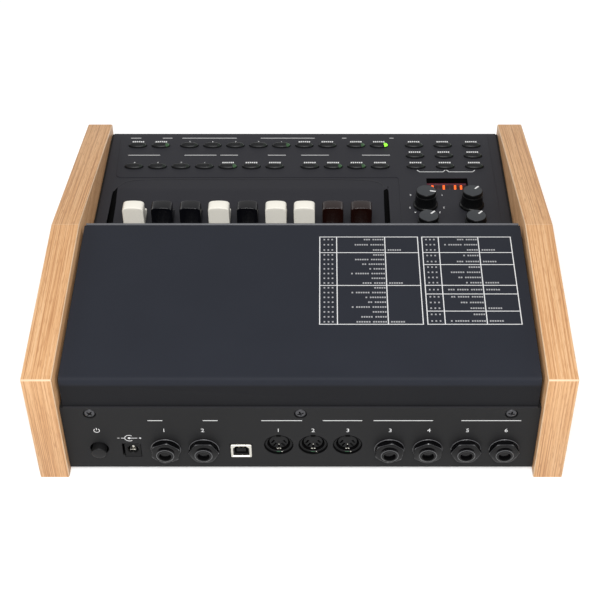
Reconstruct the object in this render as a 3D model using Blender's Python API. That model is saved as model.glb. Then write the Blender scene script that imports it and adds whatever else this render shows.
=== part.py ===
"""Organ sound module: two wooden cheeks, a bent-steel case, a sloped control panel,
nine drawbars and a row of sockets on the back.

Metres, +Z up. The origin is at the bottom centre of the whole object. The player
sits at -Y, and the sockets face +Y. Left and right are named as seen from behind, so
left is +X, and the drawbars and the buttons of a row are counted from there.
"""

from math import cos, pi, radians, sin, tan

import bmesh
import bpy
from mathutils import Matrix, Vector

# Fits and sheet metal
FIT = 0.0003
SHEET = 0.0012
BOARD_THICKNESS = 0.0016

# Wooden cheeks
CHEEK_THICKNESS = 0.0170
CHEEK_HEIGHT = 0.0843
CHEEK_NOSE_HEIGHT = 0.0419
CHEEK_LEVEL_LENGTH = 0.1283
CHEEK_EDGE = 0.0006
CHEEK_FRONT_REVEAL = 0.0057

# Base tray
GROUND_CLEARANCE = 0.0037
REAR_INSET = 0.0053
REAR_PANEL_HEIGHT = 0.0518
FRONT_LIP = 0.0100
POST_RADIUS = 0.0030
STANDOFF = 0.0066

# Top cover
COVER_LENGTH = 0.1291
COVER_DROP = 0.0067
COVER_REAR_BEND = 0.0030
COVER_FRONT_BEND = 0.0016
COVER_LAP = 0.0080
REAR_SCREW_RADIUS = 0.0037
REAR_SCREW_DROP = 0.0051
REAR_SCREW_SPREAD = 0.2380

# Control panel
PANEL_FRONT_HEIGHT = 0.0385
PANEL_SLOPE = radians(5.84)
PANEL_BEND = 0.0015
PANEL_TUCK = 0.0080

# Push buttons
BUTTON_LENGTH = 0.0125
BUTTON_WIDTH = 0.0060
BUTTON_SPACE = 0.00345
GROUP_SPACE = 0.0074
BLOCK_SPACE = 0.0117
ROW_SPACE = 0.0072
BUTTON_MARGIN = 0.0180
BUTTON_FRONT_MARGIN = 0.0170
BUTTON_HEIGHT = 0.0023
BUTTON_FLANGE = 0.0008
BUTTON_RIM = 0.0007
BUTTON_TRAVEL = 0.0008
DOME_START = 0.45
DOME_TOP = 0.65

# Display
DISPLAY_WIDTH = 0.0280
DISPLAY_DEPTH = 0.0172
DISPLAY_RIM = 0.0015
DISPLAY_RECESS = 0.0013
DISPLAY_GAP = 0.0074

# Knobs
KNOB_RADIUS = 0.0081
KNOB_TOP_RADIUS = 0.0061
KNOB_HEIGHT = 0.0125
KNOB_LIFT = 0.0007
KNOB_SKIRT = 0.0016
KNOB_WAIST_RADIUS = 0.0068
KNOB_WAIST_HEIGHT = 0.0042
KNOB_TOP_EDGE = 0.0005
SHAFT_RADIUS = 0.0030
SHAFT_HOLE_RADIUS = 0.0035
SHAFT_DEPTH = 0.0030
KNOB_PITCH = 0.0302
KNOB_ROW_PITCH = 0.0280
KNOB_MARGIN = 0.0237
KNOB_GAP = 0.0155
KNOB_DISPLAY_GAP = 0.0106
KNOB_REAR_MARGIN = 0.0162

# Board under the control panel
PANEL_BOARD_DEPTH = 0.0095
SWITCH_SIDE = 0.0062
SWITCH_HEIGHT = 0.0035
PLUNGER_SIDE = 0.0032
POT_SIDE = 0.0096

# Drawbars
DRAWBAR_COUNT = 9
DRAWBAR_WIDTH = 0.0135
DRAWBAR_SPACE = 0.00483
DRAWBAR_TRAVEL = 0.0300
PARKING_GAP = 0.0034
CAP_HEIGHT = 0.0175
CAP_DEPTH = 0.0170
CAP_TOP_DEPTH = 0.0088
CAP_CROWN = 0.0014
CAP_LIP = 0.0007
CAP_BROW = 0.0031
CAP_TOE = 0.0028
CAP_EDGE = 0.0005
CAP_CLEARANCE = 0.0010
STEM_WIDTH = 0.0090
STEM_HEIGHT = 0.0025
STEM_LIFT = 0.0002
TONGUE_THICKNESS = 0.0010
TONGUE_LENGTH = 0.0030
TONGUE_DEPTH = 0.0061

# Drawbar well and guide
WELL_INSET = 0.0097
WELL_LEFT_MARGIN = 0.00805
WELL_RIGHT_MARGIN = 0.0121
WELL_CORNER = 0.0030
WELL_STEP = 0.0020
WELL_FLOOR = 0.0020
WELL_WALL = 0.0015
WELL_FLANGE = 0.0060
WELL_FRONT_GAP = 0.0222
GUIDE_LENGTH = 0.0160
GUIDE_ROOF = 0.0020
GUIDE_GAP = 0.0012
FADER_WIDTH = 0.0085
FADER_HEIGHT = 0.0070
FADER_END = 0.0050
FADER_SLOT_DEPTH = 0.0030
FADER_CLEARANCE = 0.0010

# Power button and DC inlet
POWER_MARGIN = 0.0173
LAST_JACK_MARGIN = 0.0165
POWER_RADIUS = 0.0042
POWER_HOLE_RADIUS = 0.00543
POWER_REACH = 0.0042
POWER_TRAVEL = 0.0025
POWER_AXIS_HEIGHT = 0.0072
POWER_SWITCH_SIDE = 0.0120
POWER_STEM_RADIUS = 0.0020
POWER_STEM_IN_SWITCH = 0.0020
INLET_WIDTH = 0.0093
INLET_HEIGHT = 0.0113
INLET_DEPTH = 0.0142
INLET_BORE_RADIUS = 0.00315
INLET_BORE_DEPTH = 0.0095
INLET_PIN_RADIUS = 0.0010
INLET_AXIS_HEIGHT = 0.0065
POWER_TO_INLET = 0.00912
INLET_TO_JACK = 0.0057

# Jack sockets
JACK_WASHER_RADIUS = 0.00875
JACK_WASHER_THICKNESS = 0.0008
JACK_NUT_FLATS = 0.0155
JACK_NUT_REACH = 0.0043
JACK_BUSHING_RADIUS = 0.0054
JACK_REACH = 0.0060
JACK_BORE_RADIUS = 0.0033
JACK_BODY_WIDTH = 0.0160
JACK_BODY_DEPTH = 0.0225
JACK_BODY_HEIGHT = 0.0145
JACK_AXIS_HEIGHT = 0.0071
JACK_SPACE = 0.0046
JACK_TO_USB = 0.00653

# USB and DIN sockets
USB_WIDTH = 0.01204
USB_HEIGHT = 0.0109
USB_DEPTH = 0.0165
USB_WALL = 0.0016
USB_REACH = 0.0007
USB_POCKET = 0.0090
USB_TONGUE_WIDTH = 0.0056
USB_TONGUE_HEIGHT = 0.0032
USB_TO_DIN = 0.00763
DIN_RADIUS = 0.00815
DIN_BODY_WIDTH = 0.0176
DIN_BODY_HEIGHT = 0.0195
DIN_BODY_DEPTH = 0.0140
DIN_POCKET_RADIUS = 0.0067
DIN_POCKET_DEPTH = 0.0070
DIN_INSERT_RADIUS = 0.0057
DIN_INSERT_SINK = 0.0020
DIN_AXIS_HEIGHT = 0.0103
DIN_PIN_CIRCLE = 0.0040
DIN_PIN_RADIUS = 0.0008
DIN_SPACE = 0.00355
DIN_TO_JACK = 0.0073

# Boards inside
BOARD_MARGIN = 0.0020
BOARD_PANEL_GAP = 0.0010
MAIN_BOARD_WIDTH = 0.1200
MAIN_BOARD_DEPTH = 0.0820
MAIN_BOARD_LIFT = 0.0048
CHIP_SIDE = 0.0200
CHIP_HEIGHT = 0.0022

# Facets round each kind of piece
ROUND = 16
SMALL_ROUND = 12
BUTTON_ROUND = 10
JACK_ROUND = 12
POST_ROUND = 6

# Places worked out from the sizes above
panel_cos = cos(PANEL_SLOPE)
panel_sin = sin(PANEL_SLOPE)

button_pitch = BUTTON_LENGTH + BUTTON_SPACE
group_pitch = BUTTON_LENGTH + GROUP_SPACE
row_pitch = BUTTON_WIDTH + ROW_SPACE
field_span = 8 * button_pitch + 2 * group_pitch
block_pitch = BUTTON_LENGTH + BLOCK_SPACE
edit_span = 2 * group_pitch
button_layout_width = field_span + block_pitch + edit_span + 2 * BUTTON_MARGIN

drawbar_pitch = DRAWBAR_WIDTH + DRAWBAR_SPACE
well_width = (DRAWBAR_COUNT - 1) * drawbar_pitch + DRAWBAR_WIDTH + WELL_LEFT_MARGIN + WELL_RIGHT_MARGIN
knob_layout_width = WELL_INSET + well_width + KNOB_GAP + KNOB_RADIUS + KNOB_PITCH + KNOB_MARGIN

jack_pitch = 2 * JACK_WASHER_RADIUS + JACK_SPACE
power_to_inlet = POWER_HOLE_RADIUS + POWER_TO_INLET + INLET_WIDTH / 2
inlet_to_jack = INLET_WIDTH / 2 + INLET_TO_JACK + JACK_WASHER_RADIUS
jack_to_usb = JACK_WASHER_RADIUS + JACK_TO_USB + USB_WIDTH / 2
usb_to_din = USB_WIDTH / 2 + USB_TO_DIN + DIN_RADIUS
din_pitch = 2 * DIN_RADIUS + DIN_SPACE
din_to_jack = DIN_RADIUS + DIN_TO_JACK + JACK_WASHER_RADIUS
socket_span = (
    power_to_inlet + inlet_to_jack + jack_pitch + jack_to_usb
    + usb_to_din + 2 * din_pitch + din_to_jack + 3 * jack_pitch
)
socket_layout_width = socket_span + POWER_MARGIN + LAST_JACK_MARGIN

panel_half = max(button_layout_width, knob_layout_width, socket_layout_width) / 2
tray_inner_half = panel_half + FIT
tray_half = tray_inner_half + SHEET
cheek_inner = tray_half + FIT
cheek_outer = cheek_inner + CHEEK_THICKNESS

# Places along the sloped panel, measured from its front edge
front_row_v = BUTTON_FRONT_MARGIN
middle_row_v = front_row_v + row_pitch
rear_row_v = middle_row_v + row_pitch
display_front_v = rear_row_v + BUTTON_WIDTH / 2 + DISPLAY_GAP
display_rear_v = display_front_v + DISPLAY_DEPTH
display_v = (display_front_v + display_rear_v) / 2
front_knob_v = display_rear_v + KNOB_DISPLAY_GAP + KNOB_RADIUS
rear_knob_v = front_knob_v + KNOB_ROW_PITCH
cover_front_v = rear_knob_v + KNOB_RADIUS + KNOB_REAR_MARGIN
well_front_v = rear_row_v + BUTTON_WIDTH / 2 + WELL_FRONT_GAP
panel_run = cover_front_v * panel_cos

# Places along Y
case_depth = CHEEK_FRONT_REVEAL + panel_run + COVER_LENGTH + FIT + SHEET + REAR_INSET
overhang = max(JACK_REACH - REAR_INSET, 0)
cheek_front_y = -(case_depth + overhang) / 2
cheek_rear_y = cheek_front_y + case_depth
panel_front_y = cheek_front_y + CHEEK_FRONT_REVEAL
cover_front_y = panel_front_y + panel_run
cover_rear_y = cover_front_y + COVER_LENGTH
tray_rear_inner_y = cover_rear_y + FIT
tray_rear_y = tray_rear_inner_y + SHEET
tuck_end_y = cover_front_y + PANEL_TUCK

# Places along Z
tray_floor_z = GROUND_CLEARANCE + SHEET
tray_top_z = GROUND_CLEARANCE + REAR_PANEL_HEIGHT
cover_top_z = CHEEK_HEIGHT - COVER_DROP
cover_bottom_z = tray_top_z - COVER_LAP
socket_board_z = tray_floor_z + STANDOFF
socket_board_top = socket_board_z + BOARD_THICKNESS
rear_screw_z = tray_top_z - REAR_SCREW_DROP


def panel_z(y, below=0.0):
    """Height of the sloped panel's surface at depth y, or of a plane that far below it."""
    return PANEL_FRONT_HEIGHT + (y - panel_front_y) * tan(PANEL_SLOPE) - below / panel_cos


# Drawbar well: its floor is level, one step down from the panel's surface at the front edge
well_left = panel_half - WELL_INSET
well_right = well_left - well_width
well_front_y = panel_front_y + well_front_v * panel_cos
well_floor_z = panel_z(well_front_y) - WELL_STEP
guide_front_y = cover_front_y + SHEET + GUIDE_GAP
guide_rear_y = guide_front_y + GUIDE_LENGTH

# Drawbars at rest are fully out; the joint pushes them in towards +Y
cap_rear_y = cover_front_y - PARKING_GAP - DRAWBAR_TRAVEL
cap_bottom_z = well_floor_z + CAP_CLEARANCE
stem_bottom_z = cap_bottom_z + STEM_LIFT
stem_top_z = stem_bottom_z + STEM_HEIGHT
tongue_front_y = guide_rear_y + FADER_END + FADER_CLEARANCE + FIT
stem_rear_y = tongue_front_y + TONGUE_LENGTH + FADER_CLEARANCE
first_drawbar_x = well_left - WELL_LEFT_MARGIN - DRAWBAR_WIDTH / 2
drawbar_xs = [first_drawbar_x - i * drawbar_pitch for i in range(DRAWBAR_COUNT)]

# Fader board under the stems
fader_slot_front_y = tongue_front_y - FADER_CLEARANCE
fader_slot_rear_y = tongue_front_y + TONGUE_LENGTH + DRAWBAR_TRAVEL + FADER_CLEARANCE
fader_front_y = fader_slot_front_y - FADER_END
fader_rear_y = fader_slot_rear_y + FADER_END
fader_top_z = stem_bottom_z - TONGUE_DEPTH + FADER_SLOT_DEPTH - FADER_CLEARANCE
fader_board_top = fader_top_z - FADER_HEIGHT
fader_board_z = fader_board_top - BOARD_THICKNESS
fader_board_left = well_left
fader_board_right = well_right
fader_board_front = guide_front_y
fader_board_rear = fader_rear_y + BOARD_MARGIN

# Knob and display places
knob_columns = (-panel_half + KNOB_MARGIN + KNOB_PITCH, -panel_half + KNOB_MARGIN)
edit_left = -panel_half + BUTTON_MARGIN + edit_span
display_x = edit_left - group_pitch
pot_height = PANEL_BOARD_DEPTH - SHEET - FIT - BUTTON_TRAVEL

# Boards behind the rear panel, and the main board in front of them
board_root = socket_board_top - BOARD_THICKNESS / 2
socket_face_y = tray_rear_inner_y - FIT
socket_board_rear = tray_rear_inner_y - BOARD_PANEL_GAP
socket_board_front = tray_rear_inner_y - FIT - JACK_BODY_DEPTH - BOARD_MARGIN
power_head_rear_y = tray_rear_inner_y - POWER_TRAVEL
switch_face_y = power_head_rear_y - POWER_TRAVEL - FIT
main_board_rear = socket_board_front - BOARD_MARGIN
main_board_front = main_board_rear - MAIN_BOARD_DEPTH
main_board_x = (fader_board_left + fader_board_right) / 2
main_board_z = tray_floor_z + MAIN_BOARD_LIFT

# Socket places along X, from the power button to the last jack
power_x = panel_half - POWER_MARGIN
inlet_x = power_x - power_to_inlet
pedal_jack_x = inlet_x - inlet_to_jack
usb_x = pedal_jack_x - jack_pitch - jack_to_usb
din_x = usb_x - usb_to_din
audio_jack_x = din_x - 2 * din_pitch - din_to_jack

PANEL_CORNER = Matrix.Translation((0, panel_front_y, PANEL_FRONT_HEIGHT))
PANEL_FRAME = PANEL_CORNER @ Matrix.Rotation(PANEL_SLOPE, 4, "X")


def clear_scene():
    for old in list(bpy.data.objects):
        bpy.data.objects.remove(old, do_unlink=True)


def material(name, colour, roughness, metallic=0.0):
    made = bpy.data.materials.new(name)
    made.use_nodes = True
    shader = made.node_tree.nodes["Principled BSDF"]
    shader.inputs["Base Color"].default_value = (*colour, 1.0)
    shader.inputs["Roughness"].default_value = roughness
    shader.inputs["Metallic"].default_value = metallic
    return made


# Outlines, as lists of (a, b) points


def ellipse(radius_a, radius_b, count, phase=0.0, centre=(0.0, 0.0)):
    angles = [phase + 2 * pi * i / count for i in range(count)]
    return [(centre[0] + radius_a * cos(t), centre[1] + radius_b * sin(t)) for t in angles]


def circle(radius, count=ROUND, centre=(0.0, 0.0)):
    return ellipse(radius, radius, count, 0.0, centre)


def nut_outline(flats, count, centre):
    """A hexagon sampled at count angles, so that it matches a circle of as many points."""
    sixth = pi / 3
    points = []
    for i in range(count):
        angle = 2 * pi * i / count
        radius = flats / 2 / cos(angle % sixth - sixth / 2)
        points.append((centre[0] + radius * cos(angle), centre[1] + radius * sin(angle)))
    return points


def rectangle(a0, a1, b0, b1):
    return [(a0, b0), (a1, b0), (a1, b1), (a0, b1)]


def arc(centre, radius, start, end, steps):
    angles = [start + (end - start) * i / steps for i in range(steps + 1)]
    return [(centre[0] + radius * cos(t), centre[1] + radius * sin(t)) for t in angles]


# Solids


def loft(name, sections):
    """A closed solid through sections, each a list of as many (x, y, z) points."""
    mesh = bpy.data.meshes.new(name)
    shape = bmesh.new()
    rings = [[shape.verts.new(point) for point in section] for section in sections]
    count = len(rings[0])
    for lower, upper in zip(rings, rings[1:]):
        for i in range(count):
            j = (i + 1) % count
            shape.faces.new((lower[i], lower[j], upper[j], upper[i]))
    shape.faces.new(reversed(rings[0]))
    shape.faces.new(rings[-1])
    bmesh.ops.recalc_face_normals(shape, faces=shape.faces)
    shape.to_mesh(mesh)
    shape.free()
    made = bpy.data.objects.new(name, mesh)
    bpy.context.scene.collection.objects.link(made)
    return made


def along_x(outline, x0, x1, name="tool"):
    return loft(name, [[(x, a, b) for a, b in outline] for x in (x0, x1)])


def along_y(steps, name="tool"):
    """Sections given as (y, outline in x and z)."""
    return loft(name, [[(a, y, b) for a, b in outline] for y, outline in steps])


def along_z(steps, name="tool"):
    """Sections given as (z, outline in x and y)."""
    return loft(name, [[(a, b, z) for a, b in outline] for z, outline in steps])


def box(x0, x1, y0, y1, z0, z1, name="tool"):
    return along_x(rectangle(y0, y1, z0, z1), x0, x1, name)


def tube(radius, y0, y1, centre, count=ROUND):
    outline = circle(radius, count, centre)
    return along_y([(y0, outline), (y1, outline)])


def post(x, y, z0, z1, radius=POST_RADIUS, count=POST_ROUND):
    outline = circle(radius, count, (x, y))
    return along_z([(z0, outline), (z1, outline)])


def combine(target, tool, operation):
    """Apply an exact boolean of the tool to the target, and remove the tool."""
    step = target.modifiers.new(operation, "BOOLEAN")
    step.operation = operation
    step.solver = "EXACT"
    step.object = tool
    bpy.context.view_layer.update()
    depsgraph = bpy.context.evaluated_depsgraph_get()
    result = bpy.data.meshes.new_from_object(target.evaluated_get(depsgraph))
    target.modifiers.remove(step)
    target.data = result
    bpy.data.objects.remove(tool, do_unlink=True)
    return target


def add(target, *tools):
    for tool in tools:
        combine(target, tool, "UNION")
    return target


def cut(target, *tools):
    for tool in tools:
        combine(target, tool, "DIFFERENCE")
    return target


def gather(tools):
    """Join solids that don't touch into one object, to cut or add them in one step."""
    tools = list(tools)
    shape = bmesh.new()
    for tool in tools:
        shape.from_mesh(tool.data)
        bpy.data.objects.remove(tool, do_unlink=True)
    mesh = bpy.data.meshes.new("tools")
    shape.to_mesh(mesh)
    shape.free()
    made = bpy.data.objects.new("tools", mesh)
    bpy.context.scene.collection.objects.link(made)
    return made


def in_panel(made):
    """Move a solid modelled flat (x across, y up the slope, z off the panel) onto the panel."""
    made.data.transform(PANEL_FRAME)
    return made


def bevelled(made, width, segments=2, angle=radians(30)):
    step = made.modifiers.new("edge", "BEVEL")
    step.width = width
    step.segments = segments
    step.limit_method = "ANGLE"
    step.angle_limit = angle
    return made


def finish(made, name, surface, smooth_angle=radians(32)):
    made.name = name
    made.data.name = name
    made.data.materials.clear()
    made.data.materials.append(surface)
    made.data.shade_smooth()
    made.data.set_sharp_from_angle(angle=smooth_angle)
    return made


def place_origin(made, point):
    """Put a world-space solid's origin at a point without moving the solid."""
    made.data.transform(Matrix.Translation(-Vector(point)))
    made.location = point


# Wooden cheeks


def cheek_outline():
    bend_y = cheek_rear_y - CHEEK_LEVEL_LENGTH
    return [
        (cheek_front_y, 0.0),
        (cheek_rear_y, 0.0),
        (cheek_rear_y, CHEEK_HEIGHT),
        (bend_y, CHEEK_HEIGHT),
        (cheek_front_y, CHEEK_NOSE_HEIGHT),
    ]


def make_cheeks(wood):
    for name, inner, outer in (
        ("cheek_left", cheek_inner, cheek_outer),
        ("cheek_right", -cheek_inner, -cheek_outer),
    ):
        board = along_x(cheek_outline(), inner, outer, name)
        bevelled(board, CHEEK_EDGE)
        finish(board, name, wood)


# Base tray


def tray_outline():
    """Side view of the tray: its walls follow the sloped panel, then step up behind it."""
    step_y = cover_front_y
    return [
        (panel_front_y, GROUND_CLEARANCE),
        (tray_rear_y, GROUND_CLEARANCE),
        (tray_rear_y, tray_top_z),
        (step_y, tray_top_z),
        (step_y, panel_z(step_y, SHEET)),
        (panel_front_y, panel_z(panel_front_y, SHEET)),
    ]


def tray_cavity():
    """Side view of what is taken out: the inside, and the slot for the panel's front wall."""
    slot_y = panel_front_y + SHEET + FIT
    lip_y = slot_y + SHEET
    lip_z = tray_floor_z + FRONT_LIP
    far = 2 * CHEEK_HEIGHT
    return [
        (tray_rear_inner_y, tray_floor_z),
        (tray_rear_inner_y, far),
        (cheek_front_y, far),
        (cheek_front_y, 0.0),
        (slot_y, 0.0),
        (slot_y, lip_z),
        (lip_y, lip_z),
        (lip_y, tray_floor_z),
    ]


def socket_row():
    """Kind and place along X of each thing in the rear panel."""
    row = [("power", power_x), ("inlet", inlet_x)]
    row += [("jack", pedal_jack_x - i * jack_pitch) for i in range(2)]
    row += [("usb", usb_x)]
    row += [("din", din_x - i * din_pitch) for i in range(3)]
    row += [("jack", audio_jack_x - i * jack_pitch) for i in range(4)]
    return row


def rear_hole(kind, x):
    """The cutter for one socket's hole in the rear panel."""
    y0 = tray_rear_inner_y - SHEET
    y1 = tray_rear_y + SHEET
    if kind == "power":
        return tube(POWER_HOLE_RADIUS, y0, y1, (x, socket_board_top + POWER_AXIS_HEIGHT))
    if kind == "jack":
        return tube(JACK_BUSHING_RADIUS + FIT, y0, y1, (x, socket_board_top + JACK_AXIS_HEIGHT))
    if kind == "din":
        return tube(DIN_RADIUS + FIT, y0, y1, (x, socket_board_top + DIN_AXIS_HEIGHT))
    width, height = (USB_WIDTH, USB_HEIGHT) if kind == "usb" else (INLET_WIDTH, INLET_HEIGHT)
    half = width / 2 + FIT
    return box(x - half, x + half, y0, y1, socket_board_top - FIT, socket_board_top + height + FIT)


def rear_screw_holes(y0, y1, radius):
    places = [side * REAR_SCREW_SPREAD / 2 for side in (1, 0, -1)]
    return [tube(radius, y0, y1, (x, rear_screw_z), SMALL_ROUND) for x in places]


def board_posts(x0, x1, y0, y1, top):
    """Four posts under a board's corners, from inside the tray's floor to just below it."""
    inset = POST_RADIUS + BOARD_MARGIN
    bottom = tray_floor_z - SHEET / 2
    corners = [(x, y) for x in (x0 - inset, x1 + inset) for y in (y0 + inset, y1 - inset)]
    return [post(x, y, bottom, top - FIT) for x, y in corners]


def socket_boards():
    """Name, left and right edge of each board behind the rear panel."""
    jack = JACK_BODY_WIDTH / 2 + BOARD_MARGIN
    return {
        "power_board": (
            power_x + POWER_SWITCH_SIDE / 2 + BOARD_MARGIN,
            inlet_x - INLET_WIDTH / 2 - BOARD_MARGIN,
        ),
        "pedal_socket_board": (pedal_jack_x + jack, pedal_jack_x - jack_pitch - jack),
        "data_socket_board": (
            usb_x + USB_WIDTH / 2 + BOARD_MARGIN,
            din_x - 2 * din_pitch - DIN_BODY_WIDTH / 2 - BOARD_MARGIN,
        ),
        "audio_socket_board": (audio_jack_x + jack, audio_jack_x - 3 * jack_pitch - jack),
    }


def make_tray(steel):
    tray = along_x(tray_outline(), -tray_half, tray_half, "base_tray")
    cut(tray, along_x(tray_cavity(), -tray_inner_half, tray_inner_half))
    holes = [rear_hole(kind, x) for kind, x in socket_row()]
    holes += rear_screw_holes(tray_rear_inner_y - SHEET, tray_rear_y + SHEET, REAR_SCREW_RADIUS)
    cut(tray, gather(holes))
    posts = []
    for left, right in socket_boards().values():
        posts += board_posts(left, right, socket_board_front, socket_board_rear, socket_board_z)
    half = MAIN_BOARD_WIDTH / 2
    posts += board_posts(
        main_board_x + half, main_board_x - half, main_board_front, main_board_rear, main_board_z
    )
    posts += board_posts(
        fader_board_left, fader_board_right, fader_board_front, fader_board_rear, fader_board_z
    )
    add(tray, gather(posts))
    finish(tray, "base_tray", steel)


# Top cover


def cover_outline(inset):
    """Side view of the cover with rounded bends, drawn in by the sheet for its inside."""
    front = cover_front_y + inset
    rear = cover_rear_y - inset
    top = cover_top_z - inset
    front_bend = COVER_FRONT_BEND - inset
    rear_bend = COVER_REAR_BEND - inset
    bottom = cover_bottom_z - inset
    return [
        (front, bottom),
        (rear, bottom),
        *arc((rear - rear_bend, top - rear_bend), rear_bend, 0.0, pi / 2, 4),
        *arc((front + front_bend, top - front_bend), front_bend, pi / 2, pi, 3),
    ]


def comb_edges():
    """Left and right end of the part of the front wall that reaches down into the well."""
    return well_left - 2 * FIT, well_right + 2 * FIT


def make_cover(steel):
    cover = along_x(cover_outline(0.0), -panel_half, panel_half, "top_cover")
    inner_half = panel_half - SHEET
    cut(cover, along_x(cover_outline(SHEET), -inner_half, inner_half))
    y0 = cover_front_y - SHEET
    y1 = cover_front_y + 2 * SHEET
    below = min(cover_bottom_z, well_floor_z) - SHEET
    left, right = comb_edges()
    wall_bottom = panel_z(cover_front_y + SHEET) + FIT
    cut(
        cover,
        box(left, inner_half, y0, y1, below, wall_bottom),
        box(-inner_half, right, y0, y1, below, wall_bottom),
    )
    comb_top = wall_bottom + SHEET
    comb_bottom = well_floor_z + FIT
    if comb_bottom < cover_bottom_z:
        add(cover, box(right, left, cover_front_y, cover_front_y + SHEET, comb_bottom, comb_top))
    else:
        cut(cover, box(right, left, y0, y1, below, comb_bottom))
    half = STEM_WIDTH / 2 + 2 * FIT
    slots = [box(x - half, x + half, y0, y1, below, stem_top_z + 2 * FIT) for x in drawbar_xs]
    cut(cover, gather(slots))
    holes = rear_screw_holes(cover_rear_y - 2 * SHEET, cover_rear_y + SHEET, REAR_SCREW_RADIUS / 2)
    cut(cover, gather(holes))
    finish(cover, "top_cover", steel)


# Control panel


def panel_outline():
    """Side view: a front wall, a bend and the sloped deck, which runs in under the cover."""
    rear_v = (tuck_end_y - panel_front_y) / panel_cos
    lower_front = panel_z(panel_front_y + SHEET, SHEET)
    turn = pi / 2 + PANEL_SLOPE
    reach = PANEL_BEND * tan((pi - turn) / 2)
    bend_centre = (panel_front_y + PANEL_BEND, PANEL_FRONT_HEIGHT - reach)
    return [
        (panel_front_y, GROUND_CLEARANCE),
        *arc(bend_centre, PANEL_BEND, pi, pi / 2 + PANEL_SLOPE, 4),
        (panel_front_y + rear_v * panel_cos, panel_z(tuck_end_y)),
        (panel_front_y + rear_v * panel_cos, panel_z(tuck_end_y, SHEET)),
        (panel_front_y + SHEET, lower_front),
        (panel_front_y + SHEET, GROUND_CLEARANCE),
    ]


def button_places():
    """Name, place across and place up the slope of each of the push buttons."""
    first = panel_half - BUTTON_MARGIN
    rear_gap = 2 * group_pitch - button_pitch
    field = {
        front_row_v: (("rotary", 2, group_pitch), ("memory", 7, group_pitch), ("vibrato", 2, 0.0)),
        rear_row_v: (("preset", 7, rear_gap), ("percussion", 4, 0.0)),
    }
    places = []
    for v, groups in field.items():
        x = first
        for group, count, gap in groups:
            for i in range(count):
                places.append((f"button_{group}_{i + 1}", x, v))
                x -= button_pitch if i < count - 1 else gap
    for row, v in (("front", front_row_v), ("middle", middle_row_v), ("rear", rear_row_v)):
        for i in range(3):
            places.append((f"button_edit_{row}_{i + 1}", edit_left - i * group_pitch, v))
    return places


def knob_places():
    names = (("knob_vibrato", "knob_tone"), ("knob_volume", "knob_reverb"))
    rows = zip(names, (front_knob_v, rear_knob_v))
    return [(row[i], knob_columns[i], v) for row, v in rows for i in range(2)]


def well_plan(grow):
    """Plan of the drawbar well, rounded at its two front corners, grown outward by grow."""
    left = well_left + grow
    right = well_right - grow
    front = well_front_y - grow
    rear = tuck_end_y + 2 * SHEET
    corner = WELL_CORNER + grow
    return [
        (left, rear),
        (right, rear),
        *arc((right + corner, front + corner), corner, pi, 1.5 * pi, 4),
        *arc((left - corner, front + corner), corner, 1.5 * pi, 2 * pi, 4),
    ]


def panel_studs():
    """Studs under the panel that the key-switch board hangs on, in the panel's frame."""
    board = panel_board_outline()
    inset = POST_RADIUS + BOARD_MARGIN
    left = board[0][0] - inset
    right = board[1][0] + inset
    front = board[0][1] + inset
    rear = board[2][1] - inset
    shoulder = well_front_v - WELL_FLANGE / panel_cos - BOARD_MARGIN - inset
    places = [(left, front), (right, front), (left, shoulder), (right, rear), (0.0, middle_row_v)]
    z0 = -PANEL_BOARD_DEPTH + FIT
    return [post(x, y, z0, -SHEET / 2, POST_RADIUS / 2) for x, y in places]


def make_control_panel(steel):
    panel = along_x(panel_outline(), -panel_half, panel_half, "control_panel")
    tab_half = panel_half - SHEET - FIT
    y0 = cover_front_y - FIT
    y1 = tuck_end_y + SHEET
    z0 = panel_z(cover_front_y, 4 * SHEET)
    z1 = panel_z(tuck_end_y) + SHEET
    far = panel_half + SHEET
    cut(panel, box(tab_half, far, y0, y1, z0, z1), box(-far, -tab_half, y0, y1, z0, z1))
    well_bottom = panel_z(well_front_y, 3 * SHEET)
    cut(panel, along_z([(well_bottom, well_plan(0.0)), (z1, well_plan(0.0))]))
    holes = []
    deep = 3 * SHEET
    outline = ellipse(BUTTON_LENGTH / 2 + FIT, BUTTON_WIDTH / 2 + FIT, BUTTON_ROUND)
    for _, x, v in button_places():
        ring = [(a + x, b + v) for a, b in outline]
        holes.append(along_z([(-deep, ring), (deep, ring)]))
    for _, x, v in knob_places():
        holes.append(post(x, v, -deep, deep, SHAFT_HOLE_RADIUS, SMALL_ROUND))
    half = DISPLAY_WIDTH / 2
    holes.append(box(display_x - half, display_x + half, display_front_v, display_rear_v, -deep, deep))
    cut(panel, in_panel(gather(holes)))
    add(panel, in_panel(gather(panel_studs())))
    finish(panel, "control_panel", steel)


# Push buttons


def button_mesh():
    """A flange under the panel, a neck through it and a domed oval top."""
    length = BUTTON_LENGTH / 2 - FIT / 2
    width = BUTTON_WIDTH / 2 - FIT / 2
    flange_top = -SHEET - FIT
    sections = (
        (flange_top - BUTTON_FLANGE, BUTTON_RIM, 1.0),
        (flange_top, BUTTON_RIM, 1.0),
        (flange_top, 0.0, 1.0),
        (BUTTON_HEIGHT * DOME_START, 0.0, 1.0),
        (BUTTON_HEIGHT, 0.0, DOME_TOP),
    )
    steps = []
    for z, rim, share in sections:
        steps.append((z, ellipse(length * share + rim, width * share + rim, BUTTON_ROUND)))
    return along_z(steps, "button")


def make_buttons(plastic, frame):
    pattern = finish(button_mesh(), "button", plastic)
    for name, x, v in button_places():
        button = bpy.data.objects.new(name, pattern.data)
        bpy.context.scene.collection.objects.link(button)
        button.parent = frame
        button.location = (x, v, 0.0)
    bpy.data.objects.remove(pattern, do_unlink=True)


# Knobs


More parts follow.
